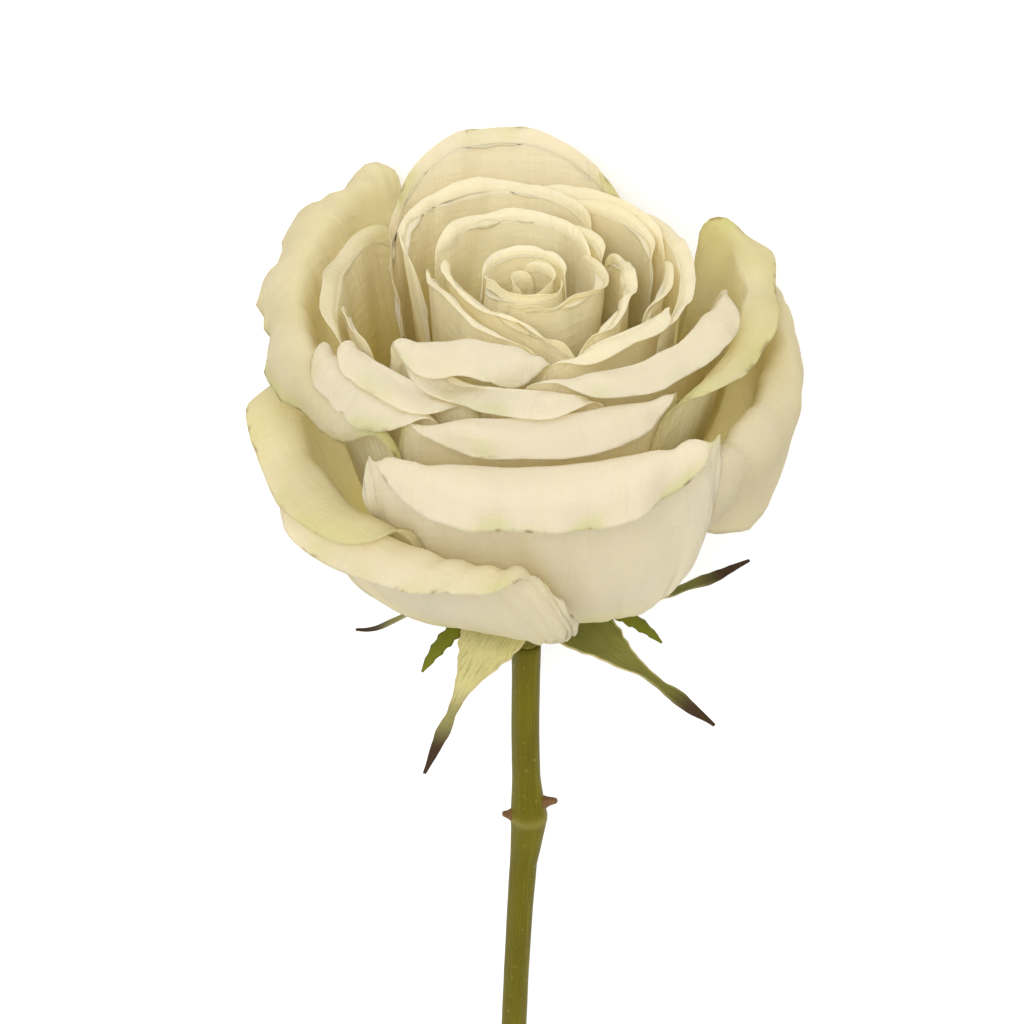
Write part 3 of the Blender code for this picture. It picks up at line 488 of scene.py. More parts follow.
def smooth_shift(shift, passes):
    """Even out how a petal is shifted; its claw moves as one."""
    for _ in range(passes):
        p = np.pad(shift, ((1, 1), (1, 1), (0, 0)), mode="edge")
        mean = (p[:-2, 1:-1] + p[2:, 1:-1] + p[1:-1, :-2] + p[1:-1, 2:]) / 4.0
        shift = 0.5 * shift + 0.5 * mean
    for r, w in enumerate(CLAW_STIFF):
        shift[r] = shift[r] * (1.0 - w) + shift[r].mean(0) * w
    return shift


def one_round(grids, start, found, ease_off, hold, passes):
    """Push every petal off its neighbours once and smooth how it moved."""
    rows, cols = start[0].shape[:2]
    total = [np.zeros((rows * cols, 3)) for g in grids]
    most = [np.zeros(rows * cols) for g in grids]
    points = [g.reshape(-1, 3) for g in grids]
    normals = [outward(g).reshape(-1, 3) for g in grids]
    for (i, j), (which, tri, share) in found.items():
        move, size = push(points[i][which], normals[i][which], points[j][tri], share, i > j, ease_off[which])
        total[i][which] += move
        most[i][which] = np.maximum(most[i][which], size)
    fresh = []
    for i, g in enumerate(grids):
        length = np.linalg.norm(total[i], axis=1)
        cap = np.minimum(1.0, PUSH_OVER * most[i] / np.maximum(length, 1e-9))
        move = (total[i] * cap[:, None]).reshape(rows, cols, 3)
        g = start[i] + smooth_shift((g + PUSH_SHARE * move - start[i]) * hold, passes)
        g[0, :, 2] = start[i][0, :, 2]
        g[:, :, 2] = np.maximum(g[:, :, 2], 0.0)
        fresh.append(g)
    return fresh


def settle(start):
    """Ease the petals apart until each lies inside the ones before it."""
    faces = faces_of(*start[0].shape[:2])
    rows, cols = start[0].shape[:2]
    ease_off = np.ones((rows, cols))
    ease_off[:len(CLAW_EASE)] = np.array(CLAW_EASE)[:, None]
    ease_off = ease_off.reshape(-1)
    grids = [g.copy() for g in start]
    for k in range(ROUNDS):
        far = LOOK_FAR if k < LOOK_AGAIN else LOOK_NEAR
        if k % LOOK_AGAIN == 0:
            found = neighbours(grids, faces, far)
        elif k % LOOK_QUICK == 0:
            found = neighbours(grids, faces, far, found)
        part = k / ROUNDS
        passes = sum(part < stage for stage in (0.3, 0.5, 0.75))
        grids = one_round(grids, start, found, ease_off, SHAPE_MEMORY if part < 0.7 else 1.0, passes)
    return part_slabs(grids)


def part_slabs(grids):
    """Last fitting: where two thickened petals still meet, move just those places apart."""
    rows, cols = grids[0].shape[:2]
    k = rows * cols
    faces = slab(grids[0], PETAL_THICK)[1]
    corner = [[v % k for v in f] for f in faces]
    for _ in range(LAST_TRIES):
        trees = [tree_of(slab(g, PETAL_THICK + LAST_GAP)[0], faces) for g in grids]
        normals = [outward(g).reshape(-1, 3) for g in grids]
        moves = [np.zeros((k, 3)) for g in grids]
        clash = 0
        for i in range(len(grids)):
            for j in range(i):
                for a, b in trees[i].overlap(trees[j]):
                    away = normals[i][corner[a]].mean(0) + normals[j][corner[b]].mean(0)
                    away /= max(np.linalg.norm(away), 1e-6)
                    moves[i][corner[a]] -= away
                    moves[j][corner[b]] += away
                    clash += 1
        if not clash:
            break
        for g, move in zip(grids, moves):
            length = np.linalg.norm(move, axis=1, keepdims=True)
            move = (LAST_STEP * move / np.maximum(length, 1.0)).reshape(rows, cols, 3)
            g += smooth_shift(move, 1)
            g[:, :, 2] = np.maximum(g[:, :, 2], 0.0)
    return grids


# ---------------------------------------------------------------- solids
def slab(grid, thick, n=None):
    """A sheet given thickness: outer skin, inner skin and the edge between them."""
    rows, cols = grid.shape[:2]
    n = outward(grid) if n is None else n
    verts = np.concatenate([(grid + n * thick / 2).reshape(-1, 3), (grid - n * thick / 2).reshape(-1, 3)])
    k = rows * cols
    skin = faces_of(rows, cols)
    back = [tuple(k + c for c in reversed(q)) for q in skin]
    rim = [c for c in range(cols)] + [r * cols + cols - 1 for r in range(1, rows)]
    rim += [(rows - 1) * cols + c for c in range(cols - 2, -1, -1)]
    rim += [r * cols for r in range(rows - 2, 0, -1)]
    edge = []
    for a, b in zip(rim, rim[1:] + rim[:1]):
        edge += [(b, a, k + a), (b, k + a, k + b)]
    return verts, skin + back + edge


def seat_claw(grid):
    """Let the foot of a petal reach down to its gap above the hip."""
    foot = grid[0, :, 2] - 0.5 * PETAL_THICK * np.abs(outward(grid)[0, :, 2])
    grid[0, :, 2] -= foot.min() - (HIP_TOP + FIT_GAP)
    return grid


def tube(centres, radii, sides):
    """A closed round rod through the centres, each ring square to the run."""
    centres = np.asarray(centres, float)
    along = np.gradient(centres, axis=0)
    along /= np.linalg.norm(along, axis=1, keepdims=True)
    side = np.cross(along, np.array([0.0, 1.0, 0.0]))
    side /= np.linalg.norm(side, axis=1, keepdims=True)
    other = np.cross(along, side)
    a = np.linspace(0, 2 * math.pi, sides, endpoint=False)
    rings = [c + r * (np.outer(np.cos(a), s) + np.outer(np.sin(a), o))
             for c, r, s, o in zip(centres, radii, side, other)]
    verts = np.concatenate(rings + [centres[:1], centres[-1:]])
    faces = []
    for k in range(len(rings) - 1):
        for m in range(sides):
            p, q = k * sides + m, k * sides + (m + 1) % sides
            faces.append((p, q, q + sides, p + sides))
    first, last, base = len(verts) - 2, len(verts) - 1, (len(rings) - 1) * sides
    faces += [(first, (m + 1) % sides, m) for m in range(sides)]
    faces += [(last, base + m, base + (m + 1) % sides) for m in range(sides)]
    return verts, faces


def stem_at(height):
    """How far aside the stem is at a height, and its radius there."""
    run = np.array(STEM_RUN)
    return (float(np.interp(-height, -run[:, 0], run[:, 1])),
            float(np.interp(-height, -run[:, 0], run[:, 2])))


def heading(slope):
    """One step outward and up at a slope in degrees."""
    return np.array([math.cos(math.radians(slope)), math.sin(math.radians(slope))])


def sepal(az, tip_r, tip_z, half, leave, arrive):
    """A long pointed leaf: broad foot, thin neck, small leafy tip."""
    root = np.array(SEPAL_ROOT)
    tip = np.array([tip_r, tip_z])
    length = float(np.linalg.norm(tip - root))
    lead = root + SEPAL_LEAD * length * heading(leave)
    fall = tip - SEPAL_FALL * length * heading(arrive)
    s = np.linspace(0, 1, SEPAL_ROWS)[:, None]
    line = (1 - s) ** 3 * root + 3 * (1 - s) ** 2 * s * lead + 3 * (1 - s) * s ** 2 * fall + s ** 3 * tip
    s = s[:, 0]
    width = half * np.interp(s, *zip(*SEPAL_OUTLINE))
    c = np.linspace(-1, 1, SEPAL_ACROSS)
    over = width[:, None] * c[None, :]
    keel = (SEPAL_KEEL * (1 - s)[:, None] * (1 - c[None, :] ** 2)
            + SEPAL_WARP * np.sin(6 * s)[:, None] * c[None, :])
    a = math.radians(az)
    out = np.array([math.sin(a), -math.cos(a), 0.0])
    side = np.array([math.cos(a), math.sin(a), 0.0])
    grid = (line[:, 0, None, None] * out + over[..., None] * side
            + (line[:, 1, None] - keel)[..., None] * np.array([0.0, 0.0, 1.0]))
    ring = np.hypot(grid[..., 0], grid[..., 1])          # the foot follows the round of the hip
    grow = np.maximum(root[0] / np.maximum(ring, 1e-6), 1.0) * (s < 0.02)[:, None]
    grow = np.where(grow > 0, grow, 1.0)
    grid[..., 0] *= grow
    grid[..., 1] *= grow
    return slab(grid, SEPAL_THICK)


# ---------------------------------------------------------------- where the flower lies
def pose_of(grids):
    """Turn and shift, in millimetres, that carry the flower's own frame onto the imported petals."""
    own = np.array([grid.reshape(-1, 3).mean(0) for grid in grids])
    packed = []
    for row in PETALS:
        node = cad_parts[row["name"]]
        corners = {tuple(round(c, 6) for c in v.co) for v in node.data.vertices}
        packed.append(np.mean(sorted(corners), axis=0) / UNIT)
    packed = np.array(packed)
    u, _, vt = np.linalg.svd((own - own.mean(0)).T @ (packed - packed.mean(0)))
    u[:, 2] *= np.sign(np.linalg.det(u @ vt))
    return u @ vt, packed.mean(0) - own.mean(0) @ u @ vt


def place(points, pose):
    """Points of the flower's frame in the frame of the part, in metres."""
    return (np.asarray(points, float).reshape(-1, 3) @ pose[0] + pose[1]) * UNIT


# ---------------------------------------------------------------- fine sheets
def spline_rows(n, where):
    """Weights that read a smooth curve through n knots at the given places."""
    a, b = np.eye(n), np.zeros((n, n))
    for k in range(1, n - 1):
        a[k, k - 1:k + 2] = (1.0, 4.0, 1.0)
        b[k, k - 1:k + 2] = (6.0, -12.0, 6.0)
    m = np.linalg.solve(a, b)
    where = np.clip(np.asarray(where, float), 0.0, n - 1.0)
    k = np.minimum(where.astype(int), n - 2)
    x = (where - k)[..., None]
    e = np.eye(n)
    return ((1 - x) * e[k] + x * e[k + 1] + ((1 - x) ** 3 - (1 - x)) * m[k] / 6.0
            + (x ** 3 - x) * m[k + 1] / 6.0)


def travelled(points, axis):
    """The way covered from point to point along one axis of a grid."""
    steps = np.linalg.norm(np.diff(points, axis=axis), axis=-1)
    return np.concatenate([np.zeros_like(np.take(steps, [0], axis)), np.cumsum(steps, axis)], axis)


def ripple(rng, along, shortest, longest):
    """A gentle irregular wave of unit size along a length in millimetres."""
    out = np.zeros_like(along)
    for _ in range(RIPPLE_WAVES):
        length = math.exp(rng.uniform(math.log(shortest), math.log(longest)))
        out += rng.uniform(0.5, 1.0) * np.sin(2 * math.pi * (along / length + rng.random()))
    return out / RIPPLE_WAVES * RIPPLE_GAIN


def waves(rng, along, size):
    """A ripple of a given height, shortest and longest wave."""
    return size[0] * ripple(rng, along, *size[1:])


def bell(x, width):
    """A soft bump around zero."""
    return np.exp(-(x / width) ** 2)


def room_round(grids):
    """For each coarse station, how far the nearest other petal is."""
    faces = faces_of(*grids[0].shape[:2])
    trees = [tree_of(g, faces) for g in grids]
    rooms = []
    for i, g in enumerate(grids):
        room = np.full(g.shape[0] * g.shape[1], ROOM_FAR)
        for a, p in enumerate(g.reshape(-1, 3)):
            spot = Vector(p)
            for j in range(len(grids)):
                if j != i:
                    _, _, _, dist = trees[j].find_nearest(spot, float(room[a]))
                    if dist is not None:
                        room[a] = min(room[a], dist)
        rooms.append(room.reshape(g.shape[:2]))
    return rooms


def fine_petal(grid, room, row, index):
    """Positions of a fine sheet with its irregular rim, and what its material needs to know."""
    rng = np.random.default_rng(500 + index)
    rows, cols = grid.shape[:2]
    tu = np.linspace(0.0, cols - 1.0, (cols - 1) * FINE + 1)
    tv = np.linspace(0.0, rows - 1.0, (rows - 1) * FINE + 1)
    across = spline_rows(cols, tu)
    coarse = np.einsum("uc,rcx->rux", across, grid)
    arc = travelled(coarse[-1], 0)
    step = row["lip"] / UP_LIP
    notch = NIBBLE + waves(rng, arc, NIBBLE_WAVE) + waves(rng, arc, NIBBLE_RIPPLE)
    for _ in range(rng.integers(*TEARS)):
        notch += rng.uniform(*TEAR_DEEP) * bell(arc - rng.uniform(0, arc[-1]), rng.uniform(*TEAR_WIDE))
    notch = np.clip(notch, 0.0, NIBBLE_MOST) * min(1.0, row["lip"] / FULL_LIP)
    back = ease((tv[:, None] - (rows - 1 - UP_LIP)) / UP_LIP)
    where = tv[:, None] - back * (notch / step)[None, :]    # the rim is drawn in along the petal
    fine = np.einsum("vur,rux->vux", spline_rows(rows, where), coarse)
    free = np.einsum("vur,ru->vu", spline_rows(rows, where), np.einsum("uc,rc->ru", across, room))
    run = travelled(fine, 0)
    rim = run[-1] - run
    side = travelled(fine, 1)
    edge = np.minimum(rim, np.minimum(side, side[:, -1:] - side))
    middle = side - side[:, -1:] / 2
    allow = np.clip(ROOM_SHARE * (free - ROOM_KEPT), 0.0, ROOM_MOST)
    shift = waves(rng, arc, RIM_WAVE)[None, :] * np.exp(-rim / RIM_WAVE_FADE)
    shift += waves(rng, arc, RIM_RIPPLE)[None, :] * np.exp(-rim / RIM_RIPPLE_FADE)
    shift += waves(rng, middle + WRINKLE_LEAN * run, WRINKLE) * ease(run / WRINKLE_START)
    shift += waves(rng, run, BROAD_UP) * waves(rng, middle, BROAD_ACROSS)
    normal = outward(fine)
    for _ in range(3):                                      # even, so that waves don't cross each other
        p = np.pad(normal, ((1, 1), (1, 1), (0, 0)), mode="edge")
        normal = (p[:-2, 1:-1] + p[2:, 1:-1] + p[1:-1, :-2] + p[1:-1, 2:]) / 4
    normal /= np.maximum(np.linalg.norm(normal, axis=-1, keepdims=True), 1e-9)
    fine = fine + normal * (np.clip(shift, -SHIFT_MOST, SHIFT_MOST) * allow)[..., None]
    return fine, dict(run=run, rim=rim, side=middle, edge=edge)


def petal_solid(fine, facts, row, index):
    """Closed thin solid with its vertex facts: (across, run, rim), (painted shade in the gaps, tone, outer
    skin) and (age with painted shade, green tinge, random).
    """
    rng = np.random.default_rng(900 + index)
    rows, cols = fine.shape[:2]
    thick = PETAL_EDGE_THICK + ((PETAL_THICK - PETAL_EDGE_THICK) * ease(facts["rim"] / THINS_FROM)
                                * ease(facts["edge"] / SIDE_THINS_FROM + SIDE_THICK))
    verts, faces = slab(fine, thick[..., None])
    fan = np.stack([facts["side"], facts["run"], facts["rim"]], -1).reshape(-1, 3)
    crest = facts["run"][np.argmax(fine[..., 2], axis=0), np.arange(cols)]
    # painted shade: a yellow that deepens with the way under the crest, into the gaps between petals
    painted_shade = np.clip((crest[None, :] - facts["run"] - PAINTED_SHADE_FROM) / PAINTED_SHADE_OVER, 0.0, 1.0)
    outside = index < OUTER_COUNT or row["name"] == "petal_back_tall"
    painted_shade *= OUTER_PAINTED_SHADE if outside else 1.0
    inner = np.stack([painted_shade, np.full(painted_shade.shape, rng.random()), np.zeros(painted_shade.shape)], -1).reshape(-1, 3)
    outer = inner.copy()
    outer[:, 2] = 1.0
    # the outer skin of these petals gets none of the painted shade
    if row["name"] in OUTER_SHOWN:
        outer[:, 0] = 0.0
    # partly real fading, partly painted shade: the bright lips of outer and wide-lipped petals are toned
    # down
    least = AGE_AND_SHADE_OUTSIDE if outside else AGE_AND_SHADE_LIPPED if row["lip"] >= WIDE_LIP else 0.0
    age_and_shade = min(1.0, max(least, AGE_AND_SHADE_FIRST - index * AGE_AND_SHADE_STEP))
    tint = np.tile(np.array([age_and_shade, TINGED.get(row["name"], 0.0), rng.random()]), (2 * rows * cols, 1))
    return verts, faces, {"fan": np.concatenate([fan, fan]), "mark": np.concatenate([outer, inner]),
                          "tint": tint}


# ---------------------------------------------------------------- objects
def add_piece(name, solid, pose, material, node):
    """A finished piece with its vertex facts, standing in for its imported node."""
    verts, faces, facts = solid
    mesh = bpy.data.meshes.new(name)
    mesh.from_pydata([tuple(float(c) for c in v) for v in place(verts, pose)], [], faces)
    mesh.update()
    for label, values in facts.items():
        layer = mesh.attributes.new(label, "FLOAT_VECTOR", "POINT")
        layer.data.foreach_set("vector", np.asarray(values, np.float32).ravel())
    mesh.shade_smooth()
    mesh.materials.append(material)
    obj = bpy.data.objects.new(name, mesh)
    bpy.context.collection.objects.link(obj)
    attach(obj, "root")
    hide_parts(node)


# ---------------------------------------------------------------- materials
class Shader:
    """A small helper for the nodes of a material or of the world."""

    def __init__(self, owner, kind="Material"):
        self.owner = owner
        owner.use_nodes = True
        self.tree = owner.node_tree
        self.tree.nodes.clear()
        self.out = self.tree.nodes.new("ShaderNodeOutput" + kind)

    def add(self, kind, sockets=None, **values):
        node = self.tree.nodes.new("ShaderNode" + kind)
        for key, value in values.items():
            setattr(node, key, value)
        for socket, value in (sockets or {}).items():
            if isinstance(value, bpy.types.NodeSocket):
                self.tree.links.new(value, node.inputs[socket])
            else:
                node.inputs[socket].default_value = value
        return node

    def times(self, a, b):
        return self.add("Math", {0: a, 1: b}, operation="MULTIPLY").outputs[0]

    def larger(self, a, b):
        return self.add("Math", {0: a, 1: b}, operation="MAXIMUM").outputs[0]

    def plus(self, a, b):
        return self.add("Math", {0: a, 1: b}, operation="ADD").outputs[0]

    def ramp(self, value, low, high, to_low=0.0, to_high=1.0, kind="SMOOTHSTEP"):
        node = self.add("MapRange", {"Value": value, "From Min": low, "From Max": high,
                                     "To Min": to_low, "To Max": to_high}, interpolation_type=kind)
        return node.outputs["Result"]

    def blend(self, factor, a, b):
        return self.add("Mix", {0: factor, 6: a, 7: b}, data_type="RGBA").outputs[2]

    def noise(self, vector, scale, detail=3.0, rough=0.55):
        node = self.add("TexNoise", {"Vector": vector, "Scale": scale, "Detail": detail, "Roughness": rough})
        return node.outputs[0]

    def attribute(self, name):
        node = self.add("Attribute", attribute_name=name, attribute_type="GEOMETRY")
        split = self.add("SeparateXYZ", {0: node.outputs["Vector"]})
        return node.outputs["Vector"], split.outputs[0], split.outputs[1], split.outputs[2]

    def stretch(self, vector, scale):
        return self.add("Mapping", {"Vector": vector, "Scale": scale}).outputs[0]

    def bump(self, height, distance):
        return self.add("Bump", {"Height": height, "Distance": distance, "Strength": 1.0}).outputs[0]

    def principled(self, colour, rough, normal, **more):
        sockets = {"Base Color": colour, "Roughness": rough, "Normal": normal}
        sockets.update({key.replace("_", " "): value for key, value in more.items()})
        return self.add("BsdfPrincipled", sockets).outputs[0]

    def mix(self, factor, a, b):
        return self.add("MixShader", {0: factor, 1: a, 2: b}).outputs[0]

    def finish(self, shader):
        self.tree.links.new(shader, self.out.inputs["Surface"])
        return self.owner


def material_shader(name):
    """The nodes of a new material."""
    return Shader(bpy.data.materials.new(name))


def petal_material():
    """Cream flesh that lets light through: a painted shade of warm yellow deeper inside, greener at the
    foot, partly faded and partly toned down with painted shade on the outer petals.
    """
    s = material_shader("petal_flesh")
    fan, _, run, rim = s.attribute("fan")
    _, painted_shade, tone, outer = s.attribute("mark")
    _, age_and_shade, tinge, _ = s.attribute("tint")
    spot = s.add("TexCoord").outputs["Object"]
    cloud = s.noise(spot, 55.0, 2.0)
    cream = s.blend(cloud, PETAL_LIGHT, PETAL_WARM)
    cream = s.blend(s.ramp(tone, 0.0, 1.0, 0.0, 0.35), cream, PETAL_WARM)
    # partly real fading, partly painted shade: the lit inner skin is toned down, the outer skin less,
    # standing in for fill light on the walls
    cream = s.blend(s.times(age_and_shade, s.ramp(outer, 0.0, 1.0, 0.9, 0.15, "LINEAR")), cream, PETAL_FADED_AND_SHADED)
    cream = s.blend(s.times(tinge, s.ramp(cloud, 0.2, 0.75, 0.35, 1.0)), cream, PETAL_TINGE)
    # painted shade: warm yellow deeper in the gaps between petals
    shade_in_gaps = s.times(s.ramp(painted_shade, 0.04, 0.95), s.ramp(cloud, 0.2, 0.8, 0.75, 1.0))
    cream = s.blend(shade_in_gaps, cream, PETAL_PAINTED_SHADE)
    foot = s.ramp(run, 34.0, 6.0, 0.0, 0.8)
    cream = s.blend(foot, cream, PETAL_FOOT)
    veins = s.noise(s.stretch(fan, (0.55, 0.03, 0.0)), 1.0, 2.0, 0.6)
    cream = s.blend(s.ramp(veins, 0.52, 0.72, 0.0, 0.16), cream, PETAL_VEIN)
    # green tinge and small brown nicks along the outer rims
    patch = s.noise(spot, 70.0, 1.0)
    fringe = s.times(s.ramp(rim, 5.0, 0.4), s.ramp(patch, 0.50, 0.68))
    fringe = s.times(fringe, s.ramp(age_and_shade, 0.1, 0.7))
    cream = s.blend(s.times(fringe, 0.55), cream, PETAL_GREEN)
    nick = s.noise(spot, 240.0, 2.0, 0.65)
    edge = s.times(s.ramp(rim, 1.0, 0.1), s.ramp(nick, 0.52, 0.66))
    edge = s.times(edge, s.times(s.ramp(patch, 0.42, 0.58), s.ramp(age_and_shade, 0.3, 0.9)))
    cream = s.blend(s.times(edge, 0.75), cream, PETAL_BROWN)
    cross = s.noise(s.stretch(fan, (0.10, 0.75, 0.0)), 1.0, 2.0)
    height = s.plus(veins, s.times(cross, 0.6))
    normal = s.bump(height, 0.0004)
    skin = s.principled(cream, 0.58, normal, IOR=1.40, Specular_IOR_Level=0.35, Sheen_Weight=0.08,
                        Sheen_Roughness=0.5)
    glow = s.add("BsdfTranslucent", {"Color": s.blend(0.45, cream, PETAL_GLOW), "Normal": normal})
    return s.finish(s.mix(0.5, skin, glow.outputs[0]))


def sepal_material():
    """A dull green leaf, pale and felted on the side toward the petals, drying at the tip."""
    s = material_shader("sepal_leaf")
    fan, _, _, rim = s.attribute("fan")
    _, upper, tip, pale = s.attribute("mark")
    spot = s.add("TexCoord").outputs["Object"]
    cloud = s.noise(spot, 130.0, 4.0)
    green = s.blend(cloud, LEAF_DARK, LEAF_LIGHT)
    felt = s.blend(s.noise(spot, 900.0, 3.0), FELT_DARK, FELT_LIGHT)
    colour = s.blend(s.times(upper, pale), green, felt)
    veins = s.noise(s.stretch(fan, (2.2, 0.12, 0.0)), 1.0, 3.0)
    colour = s.blend(s.ramp(veins, 0.5, 0.7, 0.0, 0.4), colour, LEAF_VEIN)
    colour = s.blend(s.ramp(rim, 0.55, 0.1, 0.0, 0.85), colour, LEAF_EDGE)
    colour = s.blend(s.ramp(tip, 0.42, 0.66, 0.0, 0.7), colour, LEAF_TURNING)
    colour = s.blend(s.ramp(tip, 0.66, 0.86), colour, LEAF_DRY)
    height = s.plus(veins, s.times(s.noise(spot, 2200.0, 2.0), 0.5))
    return s.finish(s.principled(colour, 0.72, s.bump(height, 0.0003), Specular_IOR_Level=0.2))


def stem_material():
    """Green streaked bark with pale flecks, scars and cut end."""
    s = material_shader("stem_bark")
    fan, _, _, _ = s.attribute("fan")
    _, scar, cut, _ = s.attribute("mark")
    spot = s.add("TexCoord").outputs["Object"]
    cloud = s.noise(spot, 60.0, 3.0)
    colour = s.blend(cloud, BARK_DARK, BARK_LIGHT)
    streak = s.noise(s.stretch(fan, (1.4, 0.045, 0.0)), 1.0, 4.0, 0.65)
    colour = s.blend(s.ramp(streak, 0.48, 0.72, 0.0, 0.5), colour, BARK_STREAK)
    dark = s.noise(s.stretch(fan, (2.4, 0.06, 0.0)), 1.0, 3.0)
    colour = s.blend(s.ramp(dark, 0.55, 0.75, 0.0, 0.45), colour, BARK_SHADE)
    fleck = s.noise(spot, 900.0, 2.0)
    colour = s.blend(s.ramp(fleck, 0.66, 0.74, 0.0, 0.5), colour, BARK_FLECK)
    colour = s.blend(s.times(scar, 0.75), colour, BARK_SCAR)
    colour = s.blend(cut, colour, BARK_CUT)
    height = s.plus(s.times(streak, 0.8), s.times(fleck, 0.25))
    return s.finish(s.principled(colour, 0.5, s.bump(height, 0.00025), Specular_IOR_Level=0.14))


def stub_material():
    """Dry brown cork."""
    s = material_shader("stub_cork")
    spot = s.add("TexCoord").outputs["Object"]
    grain = s.noise(spot, 1100.0, 4.0, 0.65)
    colour = s.blend(grain, CORK_DARK, CORK_LIGHT)
    return s.finish(s.principled(colour, 0.8, s.bump(grain, 0.0004)))


# ---------------------------------------------------------------- sepals, hip, stem
def fine_sepal(row, index):
    """A sepal with a finely toothed edge, a soft curl and its side lobes."""
    rng = np.random.default_rng(60 + index)
    verts, _ = sepal(*row[1:])
    k = SEPAL_ROWS * SEPAL_ACROSS
    grid = 0.5 * (verts[:k] + verts[k:]).reshape(SEPAL_ROWS, SEPAL_ACROSS, 3)
    tv = np.linspace(0, SEPAL_ROWS - 1, (SEPAL_ROWS - 1) * SEPAL_FINE_UP + 1)
    tu = np.linspace(0, SEPAL_ACROSS - 1, (SEPAL_ACROSS - 1) * SEPAL_FINE_ACROSS + 1)
    fine = np.einsum("vr,uc,rcx->vux", spline_rows(SEPAL_ROWS, tv), spline_rows(SEPAL_ACROSS, tu), grid)
    s = tv / tv[-1]
    run = travelled(fine, 0)
    side = travelled(fine, 1)
    middle = side - side[:, -1:] / 2
    rim = np.minimum(side, side[:, -1:] - side)
    mid = fine[:, len(tu) // 2][:, None]
    outer_part = (np.abs(middle) / (np.abs(middle).max(1, keepdims=True) + 1e-6)) ** 2
    saw = 1.0 + waves(rng, run, SEPAL_TEETH) * outer_part * ease(s / 0.2)[:, None]
    fine = mid + (fine - mid) * saw[..., None]
    normal = outward(fine)
    curl = waves(rng, run, SEPAL_CURL) * ease(s / 0.25)[:, None]
    fine = fine + normal * curl[..., None]
    thick = SEPAL_EDGE_THICK + (SEPAL_THICK - SEPAL_EDGE_THICK) * np.clip(rim / SEPAL_THINS_FROM, 0, 1)
    verts, faces = slab(fine, thick[..., None], normal)
    fan = np.stack([middle, run, rim], -1).reshape(-1, 3)
    tip = np.broadcast_to(s[:, None], rim.shape)
    felted = 1.0 if normal[len(s) // 3, len(tu) // 2, 2] > 0 else 0.0      # the side toward the petals
    pale = np.full(rim.shape, SEPAL_PALE[index])
    one = np.stack([np.full(rim.shape, felted), tip, pale], -1).reshape(-1, 3)
    two = one.copy()
    two[:, 0] = 1.0 - felted
    fans, marks = [fan, fan], [one, two]
    for lobe in LOBES:
        if lobe[0] == row[0]:
            more, corners = blade(fine, normal, *lobe[1:])
            faces = faces + [tuple(c + len(verts) for c in face) for face in corners]
            verts = np.concatenate([verts, more])
            fans.append(np.tile(LOBE_FAN, (len(more), 1)))
            marks.append(np.tile(LOBE_MARK, (len(more), 1)))
    return verts, faces, {"fan": np.concatenate(fans), "mark": np.concatenate(marks)}


def blade(leaf, normal, edge, at, length, spread, dip):
    """A slender side lobe that grows out of one edge of a sepal."""
    row, column = int(at * (len(leaf) - 1)), 0 if edge < 0 else leaf.shape[1] - 1
    root = leaf[row, column - edge * 3]
    along = leaf[row + 12, leaf.shape[1] // 2] - leaf[row, leaf.shape[1] // 2]
    along = along / np.linalg.norm(along)
    aside = leaf[row, column] - leaf[row, leaf.shape[1] // 2]
    aside = aside / np.linalg.norm(aside)
    t = np.linspace(0.0, 1.0, 21)[:, None]
    path = root + length * (t * along + spread * t ** 0.8 * aside) + np.array([0.0, 0.0, dip]) * t ** 2
    width = LOBE_HALF * np.sin(np.clip(t * 0.93 + 0.07, 0, 1) * math.pi) ** 0.8
    width = width * (1.0 + LOBE_TEETH * np.sin(38.0 * t)) + LOBE_TIP
    c = np.linspace(-1.0, 1.0, 5)
    cross = np.cross(normal[row, column], np.gradient(path, axis=0))
    cross /= np.linalg.norm(cross, axis=1, keepdims=True)
    grid = path[:, None] + (width * c)[..., None] * cross[:, None]
    grid = grid - LOBE_KEEL * (1.0 - c ** 2)[None, :, None] * normal[row, column]
    return slab(grid, LOBE_THICK)


def round_piece(centres, radii, sides, bumps, scars=None):
    """A turned or drawn rod with small swellings, and its vertex facts."""
    verts, faces = tube(centres, radii, sides)
    n = len(centres)
    run = travelled(np.asarray(centres, float), 0)
    angle = np.tile(np.linspace(0, 2 * math.pi, sides, endpoint=False), n)
    along = np.repeat(run, sides)
    ring = np.repeat(centres, sides, axis=0)
    verts[:n * sides] = ring + (verts[:n * sides] - ring) * (1.0 + bumps(angle, along))[:, None]
    girth, lift = BARK_GIRTH * np.cos(angle), BARK_GIRTH * np.sin(angle)
    fan = np.zeros((len(verts), 3))
    fan[:n * sides] = np.stack([girth + BARK_LEAN * lift, along, lift], -1)
    fan[-1, 1] = run[-1]
    mark = np.zeros((len(verts), 3))
    if scars:
        mark[:n * sides, 0] = scars(angle, along)
    return verts, faces, {"fan": fan, "mark": mark}


